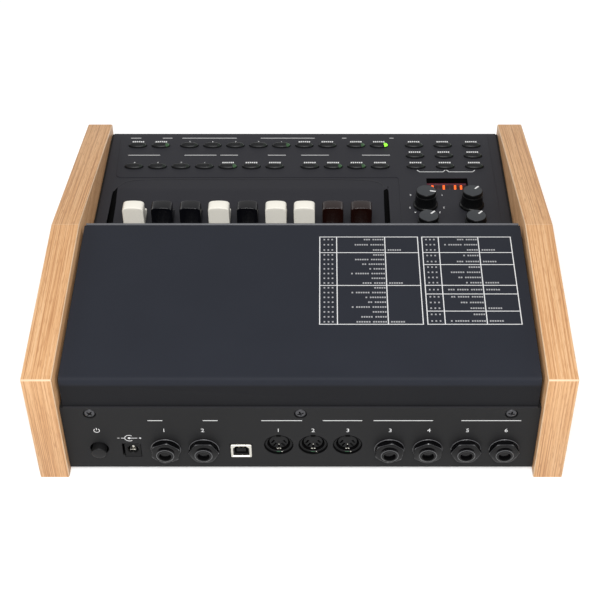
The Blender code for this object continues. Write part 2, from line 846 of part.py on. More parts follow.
def knob_mesh():
    """A shaft from the potentiometer up, then a skirted knob with a flat top."""
    shaft_bottom = -PANEL_BOARD_DEPTH + pot_height - SHAFT_DEPTH
    profile = (
        (SHAFT_RADIUS, shaft_bottom),
        (SHAFT_RADIUS, KNOB_LIFT),
        (KNOB_RADIUS, KNOB_LIFT),
        (KNOB_RADIUS, KNOB_SKIRT),
        (KNOB_WAIST_RADIUS, KNOB_WAIST_HEIGHT),
        (KNOB_TOP_RADIUS, KNOB_HEIGHT - KNOB_TOP_EDGE),
        (KNOB_TOP_RADIUS - KNOB_TOP_EDGE, KNOB_HEIGHT),
    )
    return along_z([(z, circle(radius)) for radius, z in profile], "knob")


def make_knobs(plastic, frame):
    pattern = finish(knob_mesh(), "knob", plastic)
    for name, x, v in knob_places():
        knob = bpy.data.objects.new(name, pattern.data)
        bpy.context.scene.collection.objects.link(knob)
        knob.parent = frame
        knob.location = (x, v, 0.0)
    bpy.data.objects.remove(pattern, do_unlink=True)


# Board under the control panel, and the display on it


def panel_board_outline():
    """An L: a strip under the button rows and a wing under the display and knobs."""
    left = panel_half - POST_RADIUS
    right = -left
    front = front_row_v - BUTTON_WIDTH / 2 - SWITCH_SIDE
    rear = rear_knob_v + POT_SIDE / 2 + 2 * BOARD_MARGIN
    shoulder = well_front_v - WELL_FLANGE / panel_cos - BOARD_MARGIN
    wing = well_right - WELL_FLANGE - BOARD_MARGIN
    return [(left, front), (right, front), (right, rear), (wing, rear), (wing, shoulder), (left, shoulder)]


def key_switch(x, v):
    """A square switch body with a plunger that a pressed button just reaches."""
    half = SWITCH_SIDE / 2
    z0 = -PANEL_BOARD_DEPTH - BOARD_THICKNESS / 2
    z1 = -PANEL_BOARD_DEPTH + SWITCH_HEIGHT
    z2 = -SHEET - FIT - BUTTON_FLANGE - BUTTON_TRAVEL - FIT
    body = rectangle(x - half, x + half, v - half, v + half)
    stem = PLUNGER_SIDE / 2
    plunger = rectangle(x - stem, x + stem, v - stem, v + stem)
    return along_z([(z0, body), (z1, body), (z1, plunger), (z2, plunger)])


def make_panel_board(fibre):
    z1 = -PANEL_BOARD_DEPTH
    z0 = z1 - BOARD_THICKNESS
    outline = panel_board_outline()
    board = along_z([(z0, outline), (z1, outline)], "panel_board")
    bodies = [key_switch(x, v) for _, x, v in button_places()]
    half = POT_SIDE / 2
    for _, x, v in knob_places():
        bodies.append(box(x - half, x + half, v - half, v + half, z0 + BOARD_THICKNESS / 2, z1 + pot_height))
    add(board, gather(bodies))
    bore_end = z1 + pot_height - SHAFT_DEPTH - FIT
    bore = SHAFT_HOLE_RADIUS
    bores = [post(x, v, bore_end, 0.0, bore, SMALL_ROUND) for _, x, v in knob_places()]
    cut(board, gather(bores))
    in_panel(board)
    finish(board, "panel_board", fibre)


def make_display(plastic, frame):
    """The display module: a block whose face is sunk inside a rim under the panel."""
    half = DISPLAY_WIDTH / 2 + DISPLAY_RIM
    front = display_front_v - DISPLAY_RIM
    rear = display_rear_v + DISPLAY_RIM
    top = -SHEET - FIT
    bottom = -PANEL_BOARD_DEPTH + FIT
    module = box(-half, half, front - display_v, rear - display_v, bottom, top, "display_module")
    inner = DISPLAY_WIDTH / 2
    depth = DISPLAY_DEPTH / 2
    cut(module, box(-inner, inner, -depth, depth, top - DISPLAY_RECESS, top + SHEET))
    finish(module, "display_module", plastic)
    module.parent = frame
    module.location = (display_x, display_v, 0.0)


# Drawbar well, guide and faders


def make_well(plastic):
    """A sunk bed with a level floor, hung under the panel's opening by a flange."""
    rear = guide_front_y - FIT
    front = well_front_y - WELL_FLANGE
    flange_top = SHEET + FIT
    flange_bottom = flange_top + WELL_WALL
    flange = [
        (front, panel_z(front, flange_bottom)),
        (rear, panel_z(rear, flange_bottom)),
        (rear, panel_z(rear, flange_top)),
        (front, panel_z(front, flange_top)),
    ]
    left = well_left + WELL_FLANGE
    right = well_right - WELL_FLANGE
    well = along_x(flange, right, left, "drawbar_well")
    floor_bottom = well_floor_z - WELL_FLOOR
    trough_front = well_front_y + 2 * WELL_FLOOR
    trough = [
        (trough_front, floor_bottom),
        (rear, floor_bottom),
        (rear, panel_z(rear, flange_top + WELL_WALL / 2)),
        (trough_front, panel_z(trough_front, flange_top + WELL_WALL / 2)),
    ]
    add(well, along_x(trough, well_right - WELL_WALL, well_left + WELL_WALL))
    add(well, along_z([(floor_bottom, floor_plan(rear)), (well_floor_z, floor_plan(rear))]))
    sky = panel_z(tuck_end_y) + SHEET
    cut(well, along_z([(well_floor_z, well_plan(0.0)), (sky, well_plan(0.0))]))
    finish(well, "drawbar_well", plastic)


def floor_plan(rear):
    """Plan of the raised part of the floor, which fills the panel's opening with a small gap."""
    plan = well_plan(-FIT)
    return [(x, min(y, rear)) for x, y in plan]


def make_guide(plastic):
    """A block with one tunnel for each stem, standing on the fader board."""
    top = stem_top_z + GUIDE_ROOF
    bottom = fader_board_top + FIT
    guide = box(well_right, well_left, guide_front_y, guide_rear_y, bottom, top, "drawbar_guide")
    half = STEM_WIDTH / 2 + FIT
    y0 = guide_front_y - SHEET
    y1 = guide_rear_y + SHEET
    tunnels = [box(x - half, x + half, y0, y1, stem_bottom_z - FIT, stem_top_z + FIT) for x in drawbar_xs]
    cut(guide, gather(tunnels))
    finish(guide, "drawbar_guide", plastic)


def make_fader_board(fibre):
    """A board with one slide potentiometer for each drawbar, slotted along its top."""
    board = box(
        fader_board_right, fader_board_left, fader_board_front, fader_board_rear,
        fader_board_z, fader_board_top, "fader_board",
    )
    half = FADER_WIDTH / 2
    middle = fader_board_top - BOARD_THICKNESS / 2
    bodies = [box(x - half, x + half, fader_front_y, fader_rear_y, middle, fader_top_z) for x in drawbar_xs]
    add(board, gather(bodies))
    gap = TONGUE_THICKNESS / 2 + FIT
    floor = fader_top_z - FADER_SLOT_DEPTH
    above = fader_top_z + SHEET
    slots = [box(x - gap, x + gap, fader_slot_front_y, fader_slot_rear_y, floor, above) for x in drawbar_xs]
    cut(board, gather(slots))
    finish(board, "fader_board", fibre)


def cap_profile():
    """Side view of a finger cap, with y towards the rear and z up from its underside."""
    hollow = CAP_DEPTH - CAP_TOP_DEPTH
    drop = CAP_HEIGHT - CAP_BROW - CAP_TOE
    steps = 4
    front = []
    for i in range(steps + 1):
        turn = i / steps * pi / 2
        y = -CAP_DEPTH + hollow * cos(turn)
        z = CAP_HEIGHT - CAP_BROW - drop * sin(turn)
        front.append((y, z))
    return [
        (0.0, 0.0),
        (0.0, CAP_HEIGHT - CAP_LIP),
        (-CAP_LIP, CAP_HEIGHT),
        (-CAP_TOP_DEPTH, CAP_HEIGHT - CAP_LIP),
        *front,
        (-CAP_DEPTH, 0.0),
    ]


def cap_solid():
    """The cap across its width: crowned on top, with its two sides drawn in a little."""
    half = DRAWBAR_WIDTH / 2
    stations = [(-half, CAP_EDGE), (-half + CAP_EDGE, 0.0), (-half / 2, 0.0), (0.0, 0.0)]
    stations += [(-x, inset) for x, inset in reversed(stations[:-1])]
    sections = []
    for x, inset in stations:
        section = []
        for y, z in cap_profile():
            crown = CAP_CROWN * (x / half) ** 2 * (z / CAP_HEIGHT) ** 3
            drawn_y = y + inset * (1 if y < -CAP_DEPTH / 2 else -1)
            drawn_z = z - crown + inset * (1 if z < CAP_HEIGHT / 2 else -1)
            section.append((x, drawn_y, drawn_z))
        sections.append(section)
    return loft("drawbar", sections)


def drawbar_mesh():
    cap = cap_solid()
    stem_half = STEM_WIDTH / 2
    z0 = stem_bottom_z - cap_bottom_z
    z1 = stem_top_z - cap_bottom_z
    root = -CAP_TOP_DEPTH / 2
    tail = stem_rear_y - cap_rear_y
    stem = box(-stem_half, stem_half, root, tail, z0, z1)
    front = tongue_front_y - cap_rear_y
    half = TONGUE_THICKNESS / 2
    tongue = box(-half, half, front, front + TONGUE_LENGTH, z0 - TONGUE_DEPTH, z0 + STEM_HEIGHT / 2)
    add(cap, stem, tongue)
    return cap


def make_drawbars(plastics):
    """Nine drawbars that share one form; their order of colours is that of the instrument."""
    pattern = finish(drawbar_mesh(), "drawbar", plastics["ivory"])
    colours = ("ivory", "black", "black", "ivory", "black", "ivory", "ivory", "brown", "brown")
    for i, x in enumerate(drawbar_xs):
        mesh = pattern.data.copy()
        mesh.materials.clear()
        mesh.materials.append(plastics[colours[i % len(colours)]])
        name = f"drawbar_{i + 1}"
        drawbar = bpy.data.objects.new(name, mesh)
        bpy.context.scene.collection.objects.link(drawbar)
        drawbar.location = (x, cap_rear_y, cap_bottom_z)
    bpy.data.objects.remove(pattern, do_unlink=True)


# Sockets and boards behind the rear panel


def socket_board(name):
    left, right = socket_boards()[name]
    return box(
        right, left, socket_board_front, socket_board_rear,
        socket_board_z, socket_board_top, name,
    )


def add_block(board, x, half, front, face, top):
    """A block on the board whose nose runs out through the rear panel above board level."""
    add(board, box(x - half, x + half, front, socket_board_rear, board_root, top))
    add(board, box(x - half, x + half, socket_board_rear - SHEET, face, socket_board_top, top))


def jack_front(x):
    """Bushing through the panel, washer, hexagonal nut and the bushing's chamfered end."""
    centre = (x, socket_board_top + JACK_AXIS_HEIGHT)
    bushing = circle(JACK_BUSHING_RADIUS, JACK_ROUND, centre)
    washer = circle(JACK_WASHER_RADIUS, JACK_ROUND, centre)
    nut = nut_outline(JACK_NUT_FLATS, JACK_ROUND, centre)
    end = circle(JACK_BUSHING_RADIUS - 2 * FIT, JACK_ROUND, centre)
    face = tray_rear_y + FIT
    nut_y = face + JACK_WASHER_THICKNESS
    nut_end = tray_rear_y + JACK_NUT_REACH
    tip = tray_rear_y + JACK_REACH
    return along_y([
        (socket_face_y - SHEET, bushing),
        (face, bushing),
        (face, washer),
        (nut_y, washer),
        (nut_y, nut),
        (nut_end, nut),
        (nut_end, bushing),
        (tip - 2 * FIT, bushing),
        (tip, end),
    ])


def add_jacks(board, first_x, count):
    half = JACK_BODY_WIDTH / 2
    top = socket_board_top + JACK_BODY_HEIGHT
    xs = [first_x - i * jack_pitch for i in range(count)]
    front = socket_face_y - JACK_BODY_DEPTH
    bodies = [box(x - half, x + half, front, socket_face_y, board_root, top) for x in xs]
    add(board, gather(bodies))
    add(board, gather(jack_front(x) for x in xs))
    axis_z = socket_board_top + JACK_AXIS_HEIGHT
    bore_end = front + 2 * SHEET
    tip = tray_rear_y + JACK_REACH + SHEET
    cut(board, gather(tube(JACK_BORE_RADIUS, bore_end, tip, (x, axis_z), JACK_ROUND) for x in xs))


def make_jack_board(name, first_x, count, plastic):
    board = socket_board(name)
    add_jacks(board, first_x, count)
    finish(board, name, plastic)


def add_usb(board):
    """A shell with a mouth that has two cut corners, and a tongue inside it."""
    half = USB_WIDTH / 2
    face = tray_rear_y + USB_REACH
    top = socket_board_top + USB_HEIGHT
    add_block(board, usb_x, half, socket_face_y - USB_DEPTH, face, top)
    mouth = half - USB_WALL
    corner = USB_WALL
    low = socket_board_top + USB_WALL
    high = top - USB_WALL
    outline = [
        (usb_x - mouth, low),
        (usb_x + mouth, low),
        (usb_x + mouth, high - corner),
        (usb_x + mouth - corner, high),
        (usb_x - mouth + corner, high),
        (usb_x - mouth, high - corner),
    ]
    depth = face - USB_POCKET
    cut(board, along_y([(depth, outline), (face + SHEET, outline)]))
    wide = USB_TONGUE_WIDTH / 2
    middle = socket_board_top + USB_HEIGHT / 2
    tall = USB_TONGUE_HEIGHT / 2
    add(board, box(usb_x - wide, usb_x + wide, depth - SHEET, face - SHEET, middle - tall, middle + tall))


def add_din(board, x):
    """A round collar with a sunk insert, a ring groove round it and five pin holes."""
    half = DIN_BODY_WIDTH / 2
    axis_z = socket_board_top + DIN_AXIS_HEIGHT
    centre = (x, axis_z)
    front = socket_face_y - DIN_BODY_DEPTH
    top = socket_board_top + DIN_BODY_HEIGHT
    add(board, box(x - half, x + half, front, socket_face_y, board_root, top))
    add(board, tube(DIN_RADIUS, socket_face_y - SHEET, tray_rear_y, centre))
    pocket = tray_rear_y - DIN_POCKET_DEPTH
    cut(board, tube(DIN_POCKET_RADIUS, pocket, tray_rear_y + SHEET, centre))
    insert_face = tray_rear_y - DIN_INSERT_SINK
    add(board, tube(DIN_INSERT_RADIUS, pocket - SHEET, insert_face, centre))
    holes = []
    for i in range(5):
        angle = pi + pi * i / 4
        spot = (x + DIN_PIN_CIRCLE * cos(angle), axis_z + DIN_PIN_CIRCLE * sin(angle))
        holes.append(tube(DIN_PIN_RADIUS, pocket + SHEET, insert_face + SHEET, spot, 6))
    cut(board, gather(holes))


def make_data_board(plastic):
    board = socket_board("data_socket_board")
    add_usb(board)
    for i in range(3):
        add_din(board, din_x - i * din_pitch)
    finish(board, "data_socket_board", plastic)


def make_power_board(plastic):
    """The DC inlet with its centre pin, and the push switch behind the power button."""
    board = socket_board("power_board")
    top = socket_board_top + INLET_HEIGHT
    add_block(board, inlet_x, INLET_WIDTH / 2, tray_rear_y - INLET_DEPTH, tray_rear_y, top)
    centre = (inlet_x, socket_board_top + INLET_AXIS_HEIGHT)
    depth = tray_rear_y - INLET_BORE_DEPTH
    cut(board, tube(INLET_BORE_RADIUS, depth, tray_rear_y + SHEET, centre))
    add(board, tube(INLET_PIN_RADIUS, depth - SHEET, tray_rear_y - 2 * SHEET, centre, 8))
    side = POWER_SWITCH_SIDE / 2
    axis_z = socket_board_top + POWER_AXIS_HEIGHT
    switch_front = socket_board_front + BOARD_MARGIN
    switch_top = axis_z + side
    add(board, box(power_x - side, power_x + side, switch_front, switch_face_y, board_root, switch_top))
    bore = POWER_STEM_RADIUS + FIT
    bore_end = switch_face_y - POWER_TRAVEL - POWER_STEM_IN_SWITCH - SHEET
    cut(board, tube(bore, bore_end, switch_face_y + SHEET, (power_x, axis_z), SMALL_ROUND))
    finish(board, "power_board", plastic)


def make_power_button(plastic):
    """A round head through the panel and a thinner stem that runs into the switch."""
    centre = (power_x, socket_board_top + POWER_AXIS_HEIGHT)
    stem = circle(POWER_STEM_RADIUS, ROUND, centre)
    head = circle(POWER_RADIUS, ROUND, centre)
    tip = tray_rear_y + POWER_REACH
    chamfer = circle(POWER_RADIUS - 2 * FIT, ROUND, centre)
    button = along_y([
        (switch_face_y - POWER_STEM_IN_SWITCH, stem),
        (power_head_rear_y, stem),
        (power_head_rear_y, head),
        (tip - 2 * FIT, head),
        (tip, chamfer),
    ], "power_button")
    finish(button, "power_button", plastic)
    place_origin(button, (power_x, tray_rear_y, centre[1]))


def make_main_board(fibre):
    half = MAIN_BOARD_WIDTH / 2
    top = main_board_z + BOARD_THICKNESS
    board = box(
        main_board_x - half, main_board_x + half, main_board_front, main_board_rear,
        main_board_z, top, "main_board",
    )
    chip = CHIP_SIDE / 2
    middle_y = (main_board_front + main_board_rear) / 2
    root = top - BOARD_THICKNESS / 2
    chips = []
    for x in (main_board_x - half / 2, main_board_x, main_board_x + half / 2):
        chips.append(box(x - chip, x + chip, middle_y - chip, middle_y + chip, root, top + CHIP_HEIGHT))
    add(board, gather(chips))
    finish(board, "main_board", fibre)


def make_frame():
    """An empty on the panel's front edge: x across, y up the slope, z off the surface."""
    frame = bpy.data.objects.new("panel_frame", None)
    bpy.context.scene.collection.objects.link(frame)
    frame.matrix_world = PANEL_FRAME
    return frame


def main():
    clear_scene()
    wood = material("oak_laminate", (0.72, 0.45, 0.22), 0.45)
    steel = material("black_steel", (0.028, 0.030, 0.036), 0.42, 0.2)
    panel_steel = material("panel_steel", (0.042, 0.042, 0.050), 0.55, 0.1)
    matte = material("black_plastic", (0.02, 0.02, 0.022), 0.6)
    plastics = {
        "ivory": material("ivory_plastic", (0.93, 0.89, 0.78), 0.3),
        "black": material("gloss_black", (0.012, 0.012, 0.014), 0.25),
        "brown": material("brown_plastic", (0.028, 0.010, 0.006), 0.3),
    }
    fibre = material("circuit_board", (0.02, 0.12, 0.05), 0.5)
    red = material("display_red", (0.25, 0.02, 0.02), 0.2)
    frame = make_frame()
    make_cheeks(wood)
    make_tray(steel)
    make_cover(steel)
    make_control_panel(panel_steel)
    make_buttons(matte, frame)
    make_knobs(matte, frame)
    make_panel_board(fibre)
    make_display(red, frame)
    make_well(matte)
    make_guide(matte)
    make_fader_board(fibre)
    make_drawbars(plastics)
    make_jack_board("pedal_socket_board", pedal_jack_x, 2, matte)
    make_jack_board("audio_socket_board", audio_jack_x, 4, matte)
    make_data_board(matte)
    make_power_board(matte)
    make_power_button(matte)
    make_main_board(fibre)


main()
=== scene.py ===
# %% [markdown]
# # A drawbar organ module, seen from behind
# The module is a bent-steel case held between two oak-faced cheeks. Nine drawbars, a sloped
# panel of buttons and knobs and a small display face the player, and the sockets sit at the
# back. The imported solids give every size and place; this lesson dresses them for a picture.

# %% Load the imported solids
import math

import bmesh
import bpy
import numpy as np
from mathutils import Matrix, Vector


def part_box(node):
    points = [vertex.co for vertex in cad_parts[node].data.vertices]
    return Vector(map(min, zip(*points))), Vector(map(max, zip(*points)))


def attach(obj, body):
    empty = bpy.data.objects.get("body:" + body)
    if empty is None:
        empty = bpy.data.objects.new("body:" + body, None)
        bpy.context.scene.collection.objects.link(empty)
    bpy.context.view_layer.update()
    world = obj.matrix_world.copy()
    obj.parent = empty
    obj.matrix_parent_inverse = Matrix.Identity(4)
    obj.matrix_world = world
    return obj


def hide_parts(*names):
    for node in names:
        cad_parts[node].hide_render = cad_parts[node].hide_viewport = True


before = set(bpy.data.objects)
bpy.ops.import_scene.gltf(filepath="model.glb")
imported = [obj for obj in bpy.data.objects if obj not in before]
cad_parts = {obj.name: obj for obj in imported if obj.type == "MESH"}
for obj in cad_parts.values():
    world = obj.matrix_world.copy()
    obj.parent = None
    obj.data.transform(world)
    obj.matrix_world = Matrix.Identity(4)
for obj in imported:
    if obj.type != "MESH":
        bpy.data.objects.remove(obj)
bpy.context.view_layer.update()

# %% [markdown]
# ## Where things are
# Three flat faces carry nearly all the detail: the sloped control panel, the level top cover
# and the upright socket panel. Each gets a small function that turns flat drawings, given
# as two lengths along the face and one off it, into places in the room.

# %% Places read from the solids
MM = 0.001
SLOPE = math.radians(5.84)
PANEL_HEIGHT = 38.5 * MM
PANEL_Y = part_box("control_panel")[0].y
COVER_FRONT_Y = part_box("top_cover")[0].y
COVER_TOP_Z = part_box("top_cover")[1].z
REAR_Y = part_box("base_tray")[1].y
PAINT = 0.05 * MM


def on_panel(points):
    """Across, up the slope and off the surface become x, y and z of the sloped panel."""
    u, v, w = np.moveaxis(np.asarray(points, float), -1, 0)
    y = PANEL_Y + v * math.cos(SLOPE) - w * math.sin(SLOPE)
    z = PANEL_HEIGHT + v * math.sin(SLOPE) + w * math.cos(SLOPE)
    return np.stack([u, y, z], -1)


def on_cover(points):
    """X, y and the height over the top cover become x, y and z."""
    a, b, up = np.moveaxis(np.asarray(points, float), -1, 0)
    return np.stack([a, b, COVER_TOP_Z + up], -1)


def on_rear(points):
    """To the reader's right, up, and out of the socket panel become x, y and z."""
    a, b, out = np.moveaxis(np.asarray(points, float), -1, 0)
    return np.stack([-a, REAR_Y + out, b], -1)


def in_place(points):
    """Points that are already x, y and z stay as they are."""
    return np.asarray(points, float)


def panel_box(node):
    """Lowest and highest across, up the slope and off the surface, of one solid."""
    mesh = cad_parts[node].data
    flat = np.empty(len(mesh.vertices) * 3)
    mesh.vertices.foreach_get("co", flat)
    x, y, z = (flat.reshape(-1, 3) - (0, PANEL_Y, PANEL_HEIGHT)).T
    v = y * math.cos(SLOPE) + z * math.sin(SLOPE)
    w = z * math.cos(SLOPE) - y * math.sin(SLOPE)
    local = np.stack([x, v, w], -1)
    return local.min(0), local.max(0)


print("panel edge y", round(PANEL_Y, 4), "cover top z", round(COVER_TOP_Z, 4))

# %% [markdown]
# ## Finishes as sums
# A finish is a small network of shader nodes. Writing it as ordinary sums keeps it readable:
# one class wraps a socket so that `1 - mask` or `noise * 0.2` adds its own Math node, and one
# method adds every other kind of node.


# %% The finish maker
class Value:
    """A socket of a finish, with the sums that the finishes below use."""

    def __init__(self, finish, socket):
        self.finish = finish
        self.socket = socket

    def __add__(self, other):
        return self.finish.math("ADD", self, other)

    def __mul__(self, other):
        return self.finish.math("MULTIPLY", self, other)

    def __sub__(self, other):
        return self.finish.math("SUBTRACT", self, other)

    def __rsub__(self, other):
        return self.finish.math("SUBTRACT", other, self)

    __radd__ = __add__
    __rmul__ = __mul__


class Finish:
    """A material: a Principled shader, and a method that adds any node to its tree."""

    def __init__(self, name, colour, roughness, specular=0.5, metallic=0.0):
        """What is the same all over the surface is set on the shader's own sockets."""
        self.material = bpy.data.materials.new(name)
        self.material.use_nodes = True
        self.tree = self.material.node_tree
        self.shader = self.tree.nodes["Principled BSDF"]
        self.feed("Base Color", (*colour, 1.0))
        self.feed("Roughness", roughness)
        self.feed("Specular IOR Level", specular)
        self.feed("Metallic", metallic)

    def feed(self, name, value):
        """Set one of the shader's sockets, or link a value to it."""
        socket = self.shader.inputs[name]
        if isinstance(value, Value):
            self.tree.links.new(value.socket, socket)
        else:
            socket.default_value = value

    def node(self, kind, settings=None, inputs=None, output=0):
        """Add a node: its settings first, then the values or links of its sockets."""
        made = self.tree.nodes.new(kind)
        for key, value in (settings or {}).items():
            if key == "stops":
                ramp = made.color_ramp
                for place, colour in value[2:]:
                    ramp.elements.new(place)
                for element, (place, colour) in zip(ramp.elements, sorted(value)):
                    element.position = place
                    element.color = (*colour, 1.0)
            else:
                setattr(made, key, value)
        for key, value in (inputs or {}).items():
            if isinstance(value, Value):
                self.tree.links.new(value.socket, made.inputs[key])
            else:
                made.inputs[key].default_value = value
        return Value(self, made.outputs[output])

    def math(self, operation, *terms):
        """One Math node on its terms, which are values or numbers."""
        return self.node("ShaderNodeMath", {"operation": operation}, dict(enumerate(terms)))

    def place(self, scale, turn=(0, 0, 0)):
        """Object coordinates in metres, stretched by a scale for each axis."""
        spot = self.node("ShaderNodeTexCoord", output="Object")
        return self.node("ShaderNodeMapping", None, {"Vector": spot, "Rotation": turn, "Scale": scale})

    def noise(self, vector, detail=3.0, roughness=0.5):
        """Soft random tones from 0 to 1, one cell to each unit of the vector."""
        inputs = {"Vector": vector, "Scale": 1.0, "Detail": detail, "Roughness": roughness}
        return self.node("ShaderNodeTexNoise", None, inputs)

    def ramp(self, value, *stops):
        """A value turned into a colour, which runs straight from each stop to the next."""
        return self.node("ShaderNodeValToRGB", {"stops": list(stops)}, {"Fac": value})

    def mix(self, factor, first, second):
        """Blend two colours, each a link or a plain colour."""
        inputs = {0: factor}
        for index, colour in ((6, first), (7, second)):
            inputs[index] = colour if isinstance(colour, Value) else (*colour, 1.0)
        return self.node("ShaderNodeMix", {"data_type": "RGBA"}, inputs, output=2)

    def bump(self, height, strength, distance):
        """Tilt the surface as a relief from 0 to the distance would, by a share of the strength."""
        inputs = {"Height": height, "Strength": strength, "Distance": distance}
        self.feed("Normal", self.node("ShaderNodeBump", None, inputs))


# %% [markdown]
# ### Oak laminate
# The cheeks are boards faced with a straight-grained oak print. Fine dark streaks run along
# each face, a broad figure drifts under them, and short pores break the surface. Noise in
# three sizes, stretched along the grain, gives all of that without a picture. It follows a
# map laid along each face and not the room, so the grain turns the corner as banding does.

# %% Oak
OAK_PALE = (0.715, 0.440, 0.235)
OAK_MID = (0.640, 0.355, 0.165)
OAK_DARK = (0.430, 0.205, 0.085)


def oak():
    """Tone is 0.15 figure + 0.55 streaks + 0.3 fine streaks, and pores darken it by up to 0.6."""
    finish = Finish("oak_laminate", OAK_MID, 0.5, specular=0.4)
    along = finish.node("ShaderNodeUVMap", {"uv_map": "grain"})

    def stretched(scale, detail):
        """Noise whose cells are 1 / scale metres along and across the grain."""
        spread = finish.node("ShaderNodeMapping", None, {"Vector": along, "Scale": scale})
        return finish.noise(spread, detail, 0.55)

    figure = stretched((3, 120, 1), 1)
    streaks = stretched((6, 1150, 1), 2)
    fine = stretched((20, 2300, 1), 1)
    pores = stretched((120, 1900, 1), 1)
    tone = figure * 0.15 + streaks * 0.55 + fine * 0.3
    base = finish.ramp(tone, (0.40, OAK_DARK), (0.57, OAK_PALE), (0.49, OAK_MID))
    pore_mask = finish.ramp(pores, (0.56, (0, 0, 0)), (0.66, (1, 1, 1)))
    finish.feed("Base Color", finish.mix(pore_mask * 0.6, base, OAK_DARK))
    finish.feed("Roughness", 0.44 + streaks * 0.16)
    finish.bump(streaks - pore_mask * 0.5, 0.25, 0.05 * MM)
    return finish.material


# %% [markdown]
# ### Painted steel and moulded plastic
# The sheet metal is powder coated: tiny rounded grains scatter the light. The plastic parts
# differ by colour and polish, with a faint mould texture. Each could have a network of its
# own, but they differ only in numbers. So one function makes them all, from a colour, a
# roughness, the size and depth of the grain in millimetres, and a strength of reflection.


# %% Coated and moulded surfaces
def grained(name, colour, roughness, grain, depth, specular=0.5, drift=0.12, metallic=0.0, below=None):
    """The colour times 1 - drift to 1 + drift, by 0.7 broad + 0.3 fine noise.

    Below a given height another colour takes over, across a step of two millimetres."""
    finish = Finish(name, colour, roughness, specular, metallic)
    fine = finish.noise(finish.place((1 / (grain * MM),) * 3), 2)
    broad = finish.noise(finish.place((28, 28, 28)), 3)
    shades = []
    for shade in (colour, below[1]) if below else (colour,):
        darker = tuple(c * (1 - drift) for c in shade)
        paler = tuple(min(1.0, c * (1 + drift)) for c in shade)
        shades.append(finish.mix(broad * 0.7 + fine * 0.3, darker, paler))
    # The second colour below the height paints shade, as on the cover's flange.
    if below:
        height = finish.node("ShaderNodeSeparateXYZ", None, {"Vector": finish.place((1, 1, 1))}, output=2)
        ends = {"Value": height, "From Min": below[0] - MM, "From Max": below[0] + MM}
        shades[0] = finish.mix(finish.node("ShaderNodeMapRange", None, ends), shades[1], shades[0])
    finish.feed("Base Color", shades[0])
    finish.feed("Roughness", roughness - 0.05 + broad * 0.06 + fine * 0.05)
    finish.bump(fine, 0.35, depth * MM)
    return finish.material


def ribbed(name, colour, roughness, pitch):
    """Moulded plastic with fine ribs across x: a wave whose length is the pitch."""
    finish = Finish(name, colour, roughness, specular=0.2)
    plain = finish.place((1, 1, 1))
    scale = math.pi / 10 / pitch
    wave = finish.node("ShaderNodeTexWave", {"bands_direction": "X"}, {"Vector": plain, "Scale": scale})
    fine = finish.noise(finish.place((4000, 4000, 4000)), 2)
    # Along the rib crests the colour is painted up to 1.9 times paler, a painted highlight.
    finish.feed("Base Color", finish.mix(wave * 0.6 + fine * 0.4, colour, tuple(c * 1.9 for c in colour)))
    finish.feed("Roughness", roughness - 0.05 + fine * 0.1)
    finish.bump(wave, 0.5, 0.05 * MM)
    return finish.material


def glow(name, colour, strength):
    """A lit lens or stroke: the colour, dimmed by up to a quarter by fine noise, times the strength."""
    finish = Finish(name, colour, 0.3)
    speckle = finish.noise(finish.place((900, 900, 900)), 2)
    dim = tuple(c * 0.75 for c in colour)
    finish.feed("Emission Color", finish.mix(speckle, dim, colour))
    finish.feed("Emission Strength", strength)
    return finish.material


OAK = oak()
# Paler oak for the cheeks' rounded edges: a painted highlight.
OAK_EDGE_HIGHLIGHT = grained("oak_edge_painted_highlight", (0.78, 0.56, 0.36), 0.45, 1.2, 0.02, specular=0.4, drift=0.10)
print("oak finishes:", OAK.name, OAK_EDGE_HIGHLIGHT.name)

# %% [markdown]
# ### The coated metals
# Powder coat hides bright reflections, so these greys barely mirror. The cover's steep rear
# flange gets less light than its top, and one finish paints that shade as a second, darker tone
# below a height, without cutting the sheet in two; the top's bluer tone is a painted reflection.
# The hem, the bed's rim and the rolled lip are painted paler as highlights, and the sockets' edges
# as glints.

# %% Metals
# The flange's darker, neutral tone below this height is painted shade; the cover's bluer tone above it is a
# painted reflection.
FLANGE_SHADE = (COVER_TOP_Z - 5 * MM, (0.0140, 0.0142, 0.0160))
COVER_STEEL = grained("cover_steel", (0.0215, 0.0236, 0.0310), 0.56, 0.35, 0.02, 0.06, below=FLANGE_SHADE)
REAR_STEEL = grained("rear_steel", (0.0128, 0.0128, 0.0134), 0.56, 0.35, 0.02, 0.14)
PANEL_STEEL = grained("panel_steel", (0.0185, 0.0185, 0.0228), 0.58, 0.30, 0.015, 0.2)
# Paler steel for the hem and the bed's rim: painted light and painted highlight.
RIM_HIGHLIGHT = grained("rim_painted_highlight", (0.0245, 0.0246, 0.0275), 0.50, 0.30, 0.01, 0.2)
# Pale paint for the cover's lip: a painted highlight along its front edge.
LIP_HIGHLIGHT = grained("lip_painted_highlight", (0.105, 0.107, 0.118), 0.35, 0.30, 0.01, 0.4)
# Pale paint for the sockets' bevels: painted glints.
EDGE_GLINT = grained("painted_edge_glint", (0.065, 0.065, 0.069), 0.28, 0.25, 0.006)
SHELL = grained("plated_shell", (0.66, 0.64, 0.58), 0.38, 0.60, 0.004, drift=0.06, metallic=1.0)
DARK_METAL = grained("black_zinc", (0.075, 0.075, 0.080), 0.30, 0.40, 0.006, drift=0.15, metallic=1.0)
BRASS = grained("contact_metal", (0.70, 0.58, 0.36), 0.32, 0.50, 0.004, drift=0.08, metallic=1.0)
print("with the metals:", len(bpy.data.materials))

# %% [markdown]
# ### The plastics, prints and lamps
# Black plastic in a photograph is told apart by its polish and not by its colour. So each
# black has its own roughness and strength of reflection, from the matt inside of a socket to
# the polished finger caps. Lit lenses and strokes give off a little light of their own.

